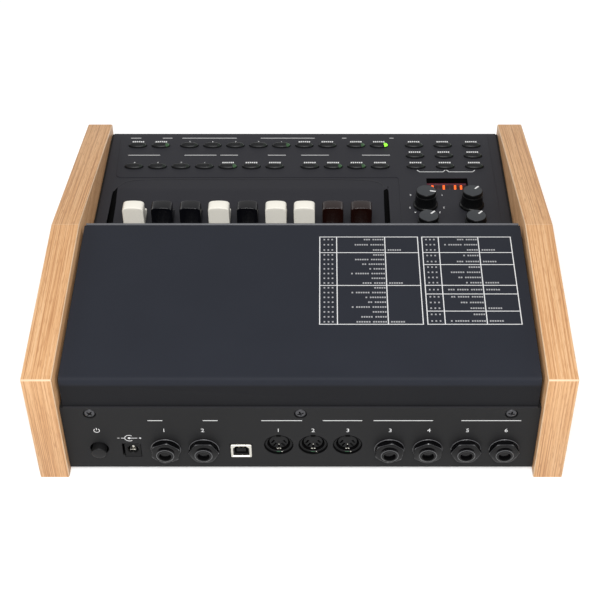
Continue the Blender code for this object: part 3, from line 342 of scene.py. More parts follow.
# %% Plastics and lamps
BLACK = grained("black_plastic", (0.0036, 0.0036, 0.0040), 0.34, 0.25, 0.01, 0.12)
POWER_PLASTIC = grained("power_plastic", (0.0105, 0.0105, 0.0110), 0.34, 0.25, 0.01, 0.15)
JACK_BLACK = grained("jack_black", (0.0026, 0.0026, 0.0030), 0.17, 0.30, 0.003, 0.20)
SOCKET_GREY = grained("socket_grey", (0.0115, 0.0115, 0.0120), 0.5, 0.25, 0.01, 0.14)
# Matt black for the insides of gaps, bores, slots and recesses: painted shade.
SHADE_BLACK = grained("painted_shade_black", (0.0015, 0.0015, 0.0016), 0.80, 0.30, 0.01, 0.05)
KNOB_BLACK = grained("knob_plastic", (0.0030, 0.0031, 0.0034), 0.32, 0.20, 0.008, 0.12)
KNOB_TOP = grained("knob_top", (0.0330, 0.0360, 0.0400), 0.50, 0.20, 0.01, 0.25)
IVORY = grained("ivory_plastic", (0.84, 0.81, 0.725), 0.28, 0.50, 0.006, drift=0.03)
GLOSS_BLACK = grained("gloss_black", (0.0028, 0.0029, 0.0042), 0.20, 0.40, 0.004, 0.28)
BROWN = grained("brown_plastic", (0.0100, 0.0026, 0.0016), 0.24, 0.40, 0.004, 0.40)
STEM = grained("stem_plastic", (0.0060, 0.0060, 0.0065), 0.45, 0.30, 0.01, 0.2)
BOARD_GREEN = grained("circuit_board", (0.015, 0.085, 0.035), 0.45, 0.40, 0.01, drift=0.2)
PRINT = grained("white_print", (0.72, 0.72, 0.72), 0.6, 0.30, 0.004, drift=0.05)
DIM_PRINT = grained("small_print", (0.34, 0.34, 0.35), 0.6, 0.30, 0.004, drift=0.05)
WINDOW = grained("display_window", (0.052, 0.034, 0.036), 0.16, 0.80, 0.002, 0.3)
LENS_OFF = grained("lens_unlit", (0.0100, 0.0140, 0.0110), 0.22, 0.60, 0.002, 0.3)
LENS_FAINT = glow("lens_faint", (0.022, 0.066, 0.022), 0.18)
LENS_LIT = glow("lens_lit", (0.24, 0.85, 0.03), 1.0)
SEGMENT_LIT = glow("segment_lit", (1.0, 0.12, 0.02), 1.3)
SEGMENT_OFF = grained("segment_off", (0.056, 0.031, 0.033), 0.35, 0.60, 0.002)
WINDOW_GLOW = glow("window_glow", (0.085, 0.018, 0.030), 0.40)
BUTTON_PLASTIC = ribbed("button_plastic", (0.0050, 0.0052, 0.0058), 0.38, 0.9 * MM)
print("finishes:", len(bpy.data.materials))

# %% [markdown]
# ## Surfaces from arrays
# Every new shape is a stack of closed outlines: a cheek, a nut and a finger cap differ only
# in the outline and in how it changes from ring to ring. They could be modelled by hand from
# cubes, but a formula keeps their sizes in view. The outlines are arrays, so a whole shape is
# computed at once, and one class joins the rings with faces.


# %% Outlines
def oval(a, b, count=48):
    """(a cos t, b sin t) for t once round."""
    t = np.arange(count) * 2 * math.pi / count
    return np.stack([a * np.cos(t), b * np.sin(t)], -1)


def hexagon(flats, count=48, turn=0.0):
    """Half the flats over cos of the angle from the nearest flat's middle, round the circle."""
    t = np.arange(count) * 2 * math.pi / count
    radius = flats / 2 / np.cos((t - turn) % (math.pi / 3) - math.pi / 6)
    return np.stack([radius * np.cos(t), radius * np.sin(t)], -1)


def rounded(corners, radius, steps=4):
    """A polygon's outline with an arc of the given radius at each corner."""
    corners = np.asarray(corners, float)
    before = np.roll(corners, 1, 0) - corners
    after = np.roll(corners, -1, 0) - corners
    before /= np.linalg.norm(before, axis=1)[:, None]
    after /= np.linalg.norm(after, axis=1)[:, None]
    half = np.arccos(np.clip((before * after).sum(1), -1, 1)) / 2
    reach = np.broadcast_to(radius, half.shape) / np.tan(half)
    middle = before + after
    middle /= np.linalg.norm(middle, axis=1)[:, None]
    centre = corners + middle * (radius / np.sin(half))[:, None]
    start = corners + before * reach[:, None] - centre
    end = corners + after * reach[:, None] - centre
    first = np.arctan2(start[:, 1], start[:, 0])
    sweep = (np.arctan2(end[:, 1], end[:, 0]) - first + math.pi) % (2 * math.pi) - math.pi
    t = first[:, None] + sweep[:, None] * np.linspace(0, 1, steps + 1)
    size = np.linalg.norm(start, axis=1)[:, None, None]
    arcs = centre[:, None] + size * np.stack([np.cos(t), np.sin(t)], -1)
    return arcs.reshape(-1, 2)


def rectangle(width, height, radius=0.3 * MM, steps=3, centre=(0, 0)):
    """Four corners at half the width and height from the centre, each rounded."""
    x, y = width / 2, height / 2
    corners = [(-x, -y), (x, -y), (x, y), (-x, y)]
    return rounded(corners, radius, steps) + centre


def to_sides(ray, low, high):
    """How far each ray from the origin runs before it meets the side of a rectangle."""
    limit = np.where(ray > 0, high, -np.asarray(low, float))
    return (limit / np.maximum(np.abs(ray), 1e-9)).min(1)


def to_outline(ray, corners):
    """Along each ray, the nearest side's line: its distance over the ray's share of its normal."""
    side = np.roll(corners, -1, 0) - corners
    normal = np.stack([side[:, 1], -side[:, 0]], -1)
    across = np.maximum(ray @ normal.T, 1e-12)
    return ((corners * normal).sum(1) / across).min(1)


def grown(outline, distance):
    """Each point moves out along the mean of its two edges' normals."""
    ahead = np.roll(outline, -1, 0) - outline
    ahead /= np.maximum(np.linalg.norm(ahead, axis=1), 1e-12)[:, None]
    normal = np.stack([ahead[:, 1], -ahead[:, 0]], -1)
    last = np.roll(normal, 1, 0)
    middle = normal + last
    middle /= np.maximum((middle * middle).sum(1), 1e-6)[:, None] / 2
    return outline + middle * distance


def stack(outlines, heights):
    """Outlines at their heights, as one array of rings."""
    outlines = np.asarray(outlines, float)
    level = np.broadcast_to(np.asarray(heights, float)[:, None, None], outlines.shape[:2] + (1,))
    return np.concatenate([outlines, level], -1)


def slab(outline, low, high, edge=0.3 * MM, steps=3):
    """An outline from low to high whose two rims are quarter rounds."""
    t = np.linspace(0, math.pi / 2, steps + 1)
    inset = edge * (1 - np.sin(t))
    rise = edge * (1 - np.cos(t))
    insets = np.concatenate([inset, inset[::-1]])
    heights = np.concatenate([low + rise, high - rise[::-1]])
    return stack([grown(outline, -d) for d in insets], heights)


def turned(profile, count=48):
    """A profile of (radius, height) carried round its axis."""
    profile = np.asarray(profile, float)
    return stack(profile[:, 0, None, None] * oval(1, 1, count), profile[:, 1])


# %% [markdown]
# ## One class for every piece
# A piece gathers rings, bars and figures, each with its finish, and becomes one object that
# rides on a body of the machine. Separate objects for every nut and pin would be harder to
# carry along, so what never moves apart is one piece. Sharp edges stay sharp, and round ones
# are shaded smooth.


# %% The piece maker
WELD = 1e-7


def face_outward(mesh, weld=0.0):
    """Merge points closer than the weld, and turn the faces until the enclosed volume is positive."""
    shape = bmesh.new()
    shape.from_mesh(mesh)
    if weld:
        bmesh.ops.remove_doubles(shape, verts=shape.verts, dist=weld)
    bmesh.ops.recalc_face_normals(shape, faces=shape.faces)
    if shape.calc_volume(signed=True) < 0:
        bmesh.ops.reverse_faces(shape, faces=shape.faces)
    shape.to_mesh(mesh)
    shape.free()


class Piece:
    """Gathers closed skins and makes them one object in its final place."""

    def __init__(self, name, place=in_place, *finishes):
        """A name, the function that puts points in their place, and the finishes to number."""
        self.name = name
        self.place = place
        self.finishes = finishes
        self.points = []
        self.faces = []
        self.slots = []
        self.count = 0

    def add(self, points, faces, finish=0):
        """Add a skin, whose finish is one number or one for each face."""
        points = np.asarray(points, float).reshape(-1, 3)
        self.points.append(self.place(points))
        self.faces += [[corner + self.count for corner in face] for face in faces]
        self.slots += list(finish) if np.ndim(finish) else [finish] * len(faces)
        self.count += len(points)
        return self

    def rings(self, grid, centre=(0, 0, 0), finish=0, ends=None):
        """Join each ring to the next, and close the first and the last with a flat face.

        Point k of ring r has the number r * around + k. The finish is one number, one for each row
        of faces or one for each of their faces; both ends take the first, unless they are given."""
        rows, around = grid.shape[:2]
        row, column = np.mgrid[0 : rows - 1, 0:around]
        beside = (column + 1) % around
        start, end = row * around, (row + 1) * around
        quads = np.stack([start + column, start + beside, end + beside, end + column], -1)
        faces = quads.reshape(-1, 4).tolist()
        faces.append(list(range(around - 1, -1, -1)))
        faces.append(list(range((rows - 1) * around, rows * around)))
        finish = np.asarray(finish)
        if finish.ndim == 1:
            finish = finish[:, None]
        sides = np.broadcast_to(finish, (rows - 1, around)).ravel().tolist()
        return self.add(grid + np.asarray(centre, float), faces, [*sides, *(ends or sides[:1] * 2)])

    def bars(self, starts, ends, width, height=PAINT, level=0.0, finish=0):
        """Thin flat bars from start to end on a face; their corners lie half the width to each side."""
        starts, ends = np.asarray(starts, float), np.asarray(ends, float)
        run = ends - starts
        run /= np.linalg.norm(run, axis=1)[:, None]
        side = np.stack([-run[:, 1], run[:, 0]], -1) * width / 2
        flat = np.stack([starts - side, ends - side, ends + side, starts + side], 1)
        low = np.concatenate([flat, np.full(flat.shape[:2] + (1,), level)], -1)
        high = np.concatenate([flat, np.full(flat.shape[:2] + (1,), level + height)], -1)
        sides = [[3, 2, 1, 0], [4, 5, 6, 7], [0, 1, 5, 4], [1, 2, 6, 5], [2, 3, 7, 6], [3, 0, 4, 7]]
        faces = (np.arange(len(flat))[:, None, None] * 8 + np.array(sides)).reshape(-1, 4)
        return self.add(np.concatenate([low, high], 1), faces.tolist(), finish)

    def text(self, words, size, centre, level=0.0, finish=0):
        """Plain figures, centred on a point of the face."""
        curve = bpy.data.curves.new("figures", "FONT")
        curve.body = words
        curve.size = size
        curve.extrude = PAINT / 2
        curve.resolution_u = 3
        curve.align_x = "CENTER"
        curve.align_y = "CENTER"
        holder = bpy.data.objects.new("figures", curve)
        bpy.context.scene.collection.objects.link(holder)
        graph = bpy.context.evaluated_depsgraph_get()
        mesh = bpy.data.meshes.new_from_object(holder.evaluated_get(graph))
        points = np.empty(len(mesh.vertices) * 3)
        mesh.vertices.foreach_get("co", points)
        faces = [list(face.vertices) for face in mesh.polygons]
        bpy.data.objects.remove(holder)
        bpy.data.meshes.remove(mesh)
        shift = (centre[0], centre[1], level + PAINT / 2)
        return self.add(points.reshape(-1, 3) + shift, faces, finish)

    def mesh(self):
        """The gathered skins as one mesh with its finishes."""
        mesh = bpy.data.meshes.new(self.name)
        mesh.from_pydata(np.concatenate(self.points).tolist(), [], self.faces)
        mesh.polygons.foreach_set("material_index", self.slots)
        for finish in self.finishes:
            mesh.materials.append(finish)
        return mesh

    def make(self, body="case", replaces=(), smooth=38):
        """The gathered skins as one object, welded, turned outward and settled on its body."""
        mesh = self.mesh()
        face_outward(mesh, WELD)
        return settle(bpy.data.objects.new(self.name, mesh), body, replaces, smooth)


def settle(made, body, replaces=(), smooth=38):
    """Shade a piece, put it on its body, and hide the solids that it stands for."""
    made.data.shade_smooth()
    made.data.set_sharp_from_angle(angle=math.radians(smooth))
    if not made.users_collection:
        bpy.context.scene.collection.objects.link(made)
    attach(made, body)
    if replaces:
        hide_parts(*replaces)
    return made


# %% [markdown]
# ## Sheet metal and moulded trays
# The case parts already have their exact shape as solids, so modelling them anew would only
# risk a misfit. A copy of each is welded, its flat faces are joined, and its round holes are
# cut again with many more sides. A bevel of a fifth of a millimetre, a third on the cover,
# catches the light along the edges as coated metal does.


# %% Dress a solid
FLAT_ANGLE, EDGE_ANGLE = math.radians(0.6), math.radians(40)


def dressed(node, finish, cutter=None, edge=0.2 * MM):
    """A welded copy of a solid with smooth holes, fine edges and its own finish."""
    shape = bmesh.new()
    shape.from_mesh(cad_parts[node].data)
    bmesh.ops.remove_doubles(shape, verts=shape.verts, dist=1e-6)
    bmesh.ops.dissolve_limit(
        shape, angle_limit=FLAT_ANGLE, verts=shape.verts, edges=shape.edges, delimit={"NORMAL"}
    )
    mesh = bpy.data.meshes.new(node + "_skin")
    shape.to_mesh(mesh)
    shape.free()
    made = bpy.data.objects.new(mesh.name, mesh)
    bpy.context.scene.collection.objects.link(made)
    mesh.materials.clear()
    mesh.materials.append(finish)
    if cutter:
        carve(made, cutter)
    rim = made.modifiers.new("rim", "BEVEL")
    rim.width = edge
    rim.segments = 2
    rim.limit_method = "ANGLE"
    rim.angle_limit = EDGE_ANGLE
    rim.harden_normals = True
    settle(made, "case", (node,))
    print(made.name, len(made.data.polygons), "faces")
    return made


def carve(target, cutter):
    """Cut one piece out of another with an exact boolean, and drop the cutter."""
    step = target.modifiers.new("cut", "BOOLEAN")
    step.operation = "DIFFERENCE"
    step.solver = "EXACT"
    step.object = cutter
    graph = bpy.context.evaluated_depsgraph_get()
    result = bpy.data.meshes.new_from_object(target.evaluated_get(graph))
    target.modifiers.remove(step)
    result.name = target.data.name
    target.data = result
    bpy.data.objects.remove(cutter)


def loose(piece):
    """A cutter: the gathered skins as an object that rides on nothing."""
    mesh = piece.mesh()
    face_outward(mesh)
    made = bpy.data.objects.new(piece.name, mesh)
    bpy.context.scene.collection.objects.link(made)
    return made


CUT_REACH = 3 * MM


def through(outline):
    """An outline from 3 mm under a face to 3 mm over it, which cuts right through the sheet."""
    return stack([outline] * 2, [-CUT_REACH, CUT_REACH])


# %% [markdown]
# ## The oak cheeks
# Each cheek is a 17 mm board: level behind, sloping to a low nose in front. A bevelled copy
# of the solid would do for the shape, but it has no map for the grain. So its outline is
# stacked across the thickness, with a fine round on every edge, and a map is laid along the
# outline so that the grain of the banding runs the way the band was glued. The rounds are
# painted in a paler oak, a painted highlight along each edge.

# %% Cheeks
CHEEK_LEVEL = 128.3 * MM
CHEEK_NOSE = 41.9 * MM
CHEEK_EDGE = 0.8 * MM


def make_cheek(node):
    """Rings of the outline across the board; u runs along the outline and v across it."""
    low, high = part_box(node)
    shoulder = (high.y - CHEEK_LEVEL, high.z)
    corners = [(low.y, 0), (high.y, 0), (high.y, high.z), shoulder, (low.y, CHEEK_NOSE)]
    outline = rounded(corners, CHEEK_EDGE, 3)
    grid = slab(outline, low.x, high.x, CHEEK_EDGE, 3)[..., [2, 0, 1]]
    rows, around = grid.shape[:2]
    step = np.linalg.norm(np.roll(outline, -1, 0) - outline, axis=1)
    run = np.concatenate([[0], np.cumsum(step)])
    row, column = np.mgrid[0 : rows - 1, 0:around]
    ahead = np.stack([run[column], run[column + 1], run[column + 1], run[column]], -1)
    across = np.stack([grid[row, 0, 0], grid[row, 0, 0], grid[row + 1, 0, 0], grid[row + 1, 0, 0]], -1)
    band = np.stack([ahead, across], -1).reshape(-1, 2)
    face = grid[0, ::-1, 1:], grid[-1, :, 1:]
    # The rounded edges take the paler oak, a painted highlight along each edge.
    pale = (row < 2) | (row > rows - 4) | (column % 4 < 3)
    piece = Piece(node + "_board", in_place, OAK, OAK_EDGE_HIGHLIGHT)
    piece.rings(grid, finish=pale.astype(int), ends=(0, 0))
    mesh = piece.mesh()
    mesh.uv_layers.new(name="grain")
    mesh.uv_layers["grain"].data.foreach_set("uv", np.concatenate([band, *face]).ravel())
    face_outward(mesh)
    return settle(bpy.data.objects.new(piece.name, mesh), "case", (node,), 30)


for cheek in ("cheek_left", "cheek_right"):
    print(make_cheek(cheek).name)

# %% [markdown]
# ## The case
# Cover, tray, control panel and the drawbars' guide are dressed solids. The holes in the
# control panel are cut again with forty sides, and those behind the sockets with forty-eight.
# All the places that both the holes and the sockets need stand here once, in millimetres.

# %% Case parts
BUTTONS = [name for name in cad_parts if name.startswith("button_")]
KNOBS = [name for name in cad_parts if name.startswith("knob_")]
BUTTON_HOLE = (6.57 * MM, 3.32 * MM)
SHAFT_HOLE = 3.52 * MM
WINDOW_SIZE = (27.6 * MM, 13.6 * MM)
WINDOW_V = 64.1 * MM
PANEL_HOLE_SIDES, REAR_HOLE_SIDES = 40, 48
GAP_CORNERS = [(122.6, 67.6), (124.2, 68.2), (126.6, 71.2), (127.0, 74.0), (127.2, 150.0), (122.6, 150.0)]
JACKS = [78.1, 56.0, -51.1, -73.15, -95.2, -117.25]
DINS = [12.8, -7.05, -26.9]
POWER_X, INLET_X, USB_X = 116.4, 97.2, 34.6
JACK_Z, DIN_Z, USB_Z, INLET_Z, POWER_Z = 20.2, 23.4, 18.55, 19.6, 20.3
SCREWS = [119.0, 0.0, -119.0]
SCREW_Z = 50.4
SLIT_X = INLET_X + 5.35
SLIT_SIZE = (1.4 * MM, 10.2 * MM)


def panel_centre(node):
    """Halfway between the lowest and highest place of a solid, as the panel measures them."""
    low, high = panel_box(node)
    return (low + high) / 2


def panel_cutter(window=False, gap=False):
    """Ovals for the buttons, rounds for the shafts and, if asked for, the window or the bed's gap."""
    piece = Piece("panel_holes", on_panel)
    if gap:
        piece.rings(through(np.array(GAP_CORNERS) * MM))
    for name in BUTTONS:
        u, v, _ = panel_centre(name)
        piece.rings(through(oval(*BUTTON_HOLE, PANEL_HOLE_SIDES)), (u, v, 0))
    for name in KNOBS:
        u, v, _ = panel_centre(name)
        piece.rings(through(oval(SHAFT_HOLE, SHAFT_HOLE, PANEL_HOLE_SIDES)), (u, v, 0))
    if window:
        middle = (panel_centre("display_module")[0], WINDOW_V, 0)
        piece.rings(through(rectangle(*WINDOW_SIZE, 0.4 * MM)), middle)
    return loose(piece)


def socket_centre(x, z):
    """A place on the socket panel in millimetres, as on_rear takes it in metres."""
    return np.array([-x * MM, z * MM, 0.0])


def rear_cutter():
    """A round of its own radius for each socket, the power button and each screw, and a slit."""
    piece = Piece("rear_holes", on_rear)
    round_holes = [(x, JACK_Z, 5.73) for x in JACKS] + [(x, DIN_Z, 8.48) for x in DINS]
    round_holes += [(POWER_X, POWER_Z, 5.46)] + [(x, SCREW_Z, 3.73) for x in SCREWS]
    for x, z, radius in round_holes:
        piece.rings(through(oval(radius * MM, radius * MM, REAR_HOLE_SIDES)), socket_centre(x, z))
    piece.rings(through(rectangle(*SLIT_SIZE, 0.15 * MM)), socket_centre(SLIT_X, INLET_Z))
    return loose(piece)


dressed("top_cover", COVER_STEEL, edge=0.35 * MM)
dressed("base_tray", REAR_STEEL, rear_cutter())
dressed("control_panel", PANEL_STEEL, panel_cutter(gap=True))
dressed("drawbar_guide", BLACK)

for node in ("panel_board", "fader_board", "main_board"):
    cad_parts[node].material_slots[0].material = BOARD_GREEN
print("boards in green:", BOARD_GREEN.name)

# %% [markdown]
# ### Folded edges
# Two bent edges of the sheets are too fine for the solids. The tray's upper edge is folded in
# as a hem and closes the seam over the sockets, and the cover's front wall ends in a rolled
# lip. Each is a small rounded rectangle carried across the case, so one function makes both.
# Both are painted paler than the steel beside them: the hem as painted light over the shade of
# the seam, the lip as a painted highlight along the cover's front edge.

# %% Hem and lip
SEAM_GAP = 0.05 * MM
HEM_HALF, HEM_HEIGHT, HEM_DROP = 133.4 * MM, 0.7 * MM, 0.28 * MM
LIP_HALF, LIP_DEPTH, LIP_HEIGHT, LIP_ROUND = 133.0 * MM, 1.5 * MM, 1.0 * MM, 0.45 * MM


def folded_edge(name, finish, outline, half, edge, centre, smooth):
    """An outline in y and z, carried along x from minus half to half."""
    piece = Piece(name, in_place, finish)
    piece.rings(slab(outline, -half, half, edge)[..., [2, 0, 1]], centre)
    return piece.make("case", smooth=smooth)


def make_hem():
    """The tray's upper edge, folded in until it meets the cover's rear flange."""
    flange_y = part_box("top_cover")[1].y + SEAM_GAP
    rear_y = REAR_Y - SEAM_GAP
    centre = (0, (flange_y + rear_y) / 2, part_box("base_tray")[1].z - HEM_DROP)
    outline = rectangle(rear_y - flange_y, HEM_HEIGHT, 0.12 * MM, 4)
    # The hem's paler steel is painted light over the shaded seam.
    return folded_edge("rear_hem", RIM_HIGHLIGHT, outline, HEM_HALF, 0.2 * MM, centre, 12)


def make_lip():
    """The rolled front edge of the cover: a fine bead along the top of its front wall."""
    outline = rectangle(LIP_DEPTH, LIP_HEIGHT, LIP_ROUND, 4)
    centre = (0, COVER_FRONT_Y - 0.45 * MM, COVER_TOP_Z - 0.44 * MM)
    # The bead's pale finish is a painted highlight along the edge.
    return folded_edge("cover_lip", LIP_HIGHLIGHT, outline, LIP_HALF, 0.3 * MM, centre, 38)


print(make_hem().name, make_lip().name)

# %% [markdown]
# ## Panel overlay
# A thin moulded overlay lies on the sheet and carries the print. It is shaped like an L: a
# strip for the buttons, and an arm beside the drawbars for knobs and display. Its outline is
# rounded at each corner and stacked to a third of a millimetre, then the holes are cut. The
# fine raised line round the front of the bed is a narrow strip along a path of its own, in a
# paler steel that is a painted highlight.

# %% Overlay
OVERLAY = 0.35 * MM
OVERLAY_CORNERS = [
    (-128.0, 2.5), (128.8, 2.5), (126.8, 56.2), (-63.5, 56.2), (-63.5, 141.4), (-128.0, 141.4),
]
OVERLAY_ROUNDS = [2.5, 2.5, 4.0, 2.0, 0.5, 0.5]


def make_overlay():
    """The L's outline with a radius for each corner, from just under the sheet to its own top."""
    outline = rounded(np.array(OVERLAY_CORNERS) * MM, np.array(OVERLAY_ROUNDS) * MM, 6)
    piece = Piece("panel_overlay", on_panel, PANEL_STEEL)
    piece.rings(slab(outline, -0.1 * MM, OVERLAY, 0.18 * MM, 4))
    made = piece.make("case")
    carve(made, panel_cutter(window=True))
    return settle(made, "case", (), 15)


RIM_WIDTH, RIM_HEIGHT = 0.55 * MM, 0.14 * MM
RIM_PATH = [
    (126.5, 72.2), (125.4, 69.4), (123.3, 65.8), (120.9, 62.6), (118.1, 60.6), (112.6, 58.9), (96.8, 58.3),
    (36.3, 58.3), (-24.2, 58.3), (-38.9, 58.9), (-45.6, 60.1), (-50.2, 62.2), (-52.6, 64.6), (-53.4, 67.9),
]


def make_rim():
    """The path moved half the width to each side along its normal makes the strip's outline."""
    path = np.array(RIM_PATH) * MM
    run = np.gradient(path, axis=0)
    side = np.stack([-run[:, 1], run[:, 0]], -1) / np.linalg.norm(run, axis=1)[:, None] * RIM_WIDTH / 2
    outline = np.concatenate([path + side, (path - side)[::-1]])
    # The strip's paler steel is a painted highlight.
    piece = Piece("panel_rim", on_panel, RIM_HIGHLIGHT)
    piece.rings(slab(outline, -0.05 * MM, RIM_HEIGHT, 0.04 * MM, 2))
    return piece.make("case")


print(make_overlay().name, make_rim().name)

# %% [markdown]
# ## Drawbar bed
# The bed is one vacuum-formed tray. It leaves the panel's surface in a soft curve at the
# player's end and reaches a level floor, which lies deeper under the panel towards the cover.
# A dark gap runs along each side: one is a groove in the tray, and for the other the panel's
# sheet is cut away over the tray's edge. The height is one formula over an array of places,
# the panel's slope eased into the floor, with a step down for each gap.

# %% Bed
BED_FLANGE = 6.0 * MM
BED_FLOOR = 2.0 * MM
BED_LIP = 1.8 * MM
BED_CURVE = 15.0 * MM
BED_RISE = 0.06 * MM
GAP_DEPTH = 1.5 * MM
SIDE_GAP = 3.6 * MM
BED_SHEET, BED_SKIN = 1.2 * MM, 0.04 * MM
FLOOR_COLUMNS = 25


def eased(amount):
    """0 below 0, 1 above 1, and 3 s^2 - 2 s^3 between."""
    s = np.clip(amount, 0, 1)
    return s * s * (3 - 2 * s)


def make_bed(node):
    """Height is s + (f - s) e: slope s, floor f, and e eased along y; a gap lies 1.5 mm lower."""
    low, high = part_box(node)
    right, left, front = low.x + BED_FLANGE, high.x - BED_FLANGE, low.y + BED_FLANGE
    curve_end = front + BED_CURVE
    y = np.concatenate([[front - BED_LIP, front - 0.05 * MM], np.linspace(front, curve_end, 16)])
    y = np.concatenate([y, np.linspace(curve_end, high.y, 12)[1:]])[:, None]
    surface = PANEL_HEIGHT + (y - PANEL_Y) * math.tan(SLOPE) + BED_RISE
    inside = surface + (low.z + BED_FLOOR - surface) * eased((y - front) / BED_CURVE)
    gap = inside - GAP_DEPTH * eased((y - front) / (4 * MM))
    wide = (0.4 + 2.8 * eased((y - front) / (3 * MM))) * MM
    hair = 0.1 * MM
    floor_x = right + wide + (left - right - wide) * np.linspace(0, 1, FLOOR_COLUMNS)
    full = np.ones_like(y)
    x = np.concatenate([
        full * (right - BED_LIP), full * right, full * (right + hair), right + wide - hair, floor_x,
        full * (left + hair), full * (left + SIDE_GAP / 2), full * (left + SIDE_GAP),
        full * (left + SIDE_GAP + hair),
    ], 1)
    floor = np.repeat(inside, FLOOR_COLUMNS, 1)
    under = gap - 0.5 * MM
    z = np.concatenate([surface, surface, gap, gap, floor, under, under, under, under], 1)
    thick = np.full(x.shape, BED_SHEET)
    thick[:, [0, 1, -2, -1]] = BED_SKIN
    thick[:2] = BED_SKIN
    top = np.stack([x, np.broadcast_to(y, x.shape), z], -1)
    bottom = top - np.stack([thick * 0, thick * 0, thick], -1)
    grid = np.concatenate([top, bottom[:, ::-1]], 1)
    slots = np.zeros((len(y) - 1, grid.shape[1]), int)
    columns = x.shape[1]
    # The walls and floors of both gaps are painted black as shade.
    slots[:, 1:4] = 1
    slots[:, columns - 5 : columns] = 1
    piece = Piece(node + "_bed", in_place, PANEL_STEEL, SHADE_BLACK)
    piece.rings(grid, finish=slots)
    return piece.make("case", (node,), 40)


print(make_bed("drawbar_well").name)

# %% [markdown]
# ## Push buttons
# Thirty-one oval caps stand through the panel. A cap could be a scaled ball cut flat, but its
# flange and lens need even rings. So it is an oval drawn in along a quarter round as it
# rises, and the crescent at one end is a clear lens over a lamp. A few lamps are lit.

# %% Buttons
LIT = {"button_vibrato_2"}
FAINT = {"button_rotary_2", "button_memory_5", "button_vibrato_1", "button_preset_5",
         "button_percussion_2", "button_percussion_3"}
BUTTON_HALF = (6.12 * MM, 2.88 * MM)
BUTTON_FOOT, BUTTON_DOME, BUTTON_INSET = 0.55, 1.7, 2.1 * MM
FLANGE_WIDTH, FLANGE_HEIGHT = 0.6 * MM, 0.8 * MM
LENS_HALF_ANGLE = 52


def make_button(node):
    """The oval is drawn in by 2.1 (1 - cos t) mm where it has risen by 1.7 sin t mm."""
    u, v, _ = panel_centre(node)
    low, _ = panel_box(node)
    lamp = LENS_LIT if node in LIT else LENS_FAINT if node in FAINT else LENS_OFF
    count = 48
    t = np.linspace(0, math.radians(84), 9)
    inset = BUTTON_INSET * (1 - np.cos(t))
    rise = (BUTTON_FOOT + BUTTON_DOME * np.sin(t)) * MM
    outline = oval(*BUTTON_HALF, count)
    flange = grown(outline, FLANGE_WIDTH)
    base = low[2]
    outlines = [flange, flange, outline] + [grown(outline, -d) for d in inset]
    heights = [base, base + FLANGE_HEIGHT, base + FLANGE_HEIGHT, *rise]
    angle = (np.arange(count) + 0.5) * 360 / count
    lens = np.zeros((len(heights) - 1, count), int)
    lens[4:] = np.abs(angle - 180) < LENS_HALF_ANGLE
    piece = Piece(node + "_cap", on_panel, BUTTON_PLASTIC, lamp)
    piece.rings(stack(outlines, heights), (u, v, 0), lens)
    return piece.make(node, (node,), 50)


for name in BUTTONS:
    make_button(name)
print("buttons:", len(BUTTONS))

# %% [markdown]
# ## Knobs
# A knob is turned on a lathe: a skirt, a fluted waist, a thin ring and a flat cap. The flutes
# are a small wave added to the radius, strongest at mid height. A white line shows where
# the knob points.

# %% Knobs
POINTER_ANGLES = {"knob_vibrato": -78, "knob_reverb": -139, "knob_tone": -139, "knob_volume": -139}
KNOB_PROFILE = np.array([
    (7.6, 0.75), (8.05, 0.95), (8.1, 1.6), (7.9, 2.2), (7.35, 2.7), (7.05, 4.0), (6.85, 5.6),
    (6.75, 7.2), (6.7, 8.5), (6.8, 8.7), (6.85, 9.1), (6.75, 9.4), (6.5, 9.6), (6.42, 11.6),
    (6.3, 12.1), (6.0, 12.4), (5.7, 12.45),
]) * MM
FLUTES, FLUTE_DEPTH = 30, 0.16 * MM
FLUTE_HEIGHTS = np.array([2.4, 3.4, 7.8, 8.5]) * MM
SHAFT_RADIUS = 3.0 * MM


def make_knob(node):
    """Radius is the profile's less d (1 - cos 30 t) / 2, where the depth d fades at both ends."""
    low, high = panel_box(node)
    u, v, _ = (low + high) / 2
    level = KNOB_PROFILE[:, 1:]
    count = 120
    t = np.arange(count) * 2 * math.pi / count
    depth = np.interp(level, FLUTE_HEIGHTS, [0, FLUTE_DEPTH, FLUTE_DEPTH, 0])
    radius = KNOB_PROFILE[:, :1] - depth * (1 - np.cos(t * FLUTES)) / 2
    height = np.broadcast_to(level, radius.shape)
    grid = np.stack([radius * np.cos(t), radius * np.sin(t), height], -1)
    slots = np.zeros(len(KNOB_PROFILE) - 1, int)
    slots[-1] = 1
    piece = Piece(node + "_cap", on_panel, KNOB_BLACK, KNOB_TOP, PRINT, SHELL)
    piece.rings(grid, (u, v, 0), slots, (0, 1))
    piece.rings(turned([(SHAFT_RADIUS, low[2]), (SHAFT_RADIUS, 1.2 * MM)], 32), (u, v, 0), 3)
    angle = math.radians(POINTER_ANGLES[node])
    aim = np.array([math.sin(angle), math.cos(angle)])
    piece.bars([(u, v) + aim * 2.4 * MM], [(u, v) + aim * 6.2 * MM], 1.05 * MM, 0.12 * MM, 12.42 * MM, 2)
    return piece.make(node, (node,), 32)


for name in KNOBS:
    make_knob(name)
print("knobs:", len(KNOBS))

# %% [markdown]
# ## Drawbars
# A finger cap is a side profile carried across its width. The crest is crowned, the front
# is hollowed for a fingertip, and the sides are drawn in by a quarter round. Each cap sits
# on a flat stem marked in steps from one to eight, which runs back into the case.

# %% Drawbars
PALE_CAP = (IVORY, "ivory_plastic")
BLACK_CAP = (GLOSS_BLACK, "gloss_black")
BROWN_CAP = (BROWN, "brown_plastic")
CAPS = [PALE_CAP, BLACK_CAP, BLACK_CAP, PALE_CAP, BLACK_CAP, PALE_CAP, PALE_CAP, BROWN_CAP, BROWN_CAP]
CAP_WIDTH, CAP_HEIGHT, CAP_DEPTH, CAP_TOP = 13.5, 17.5, 17.0, 8.8
CAP_BROW, CAP_TOE = 3.1, 2.8
BACK_ROUND = 0.5
CAP_SIDE = 0.9
STEM_WIDTH, STEM_LOW, STEM_HIGH = 9.0, 0.2, 2.7
STEP_COUNT, DRAWBAR_TRAVEL = 8, 30


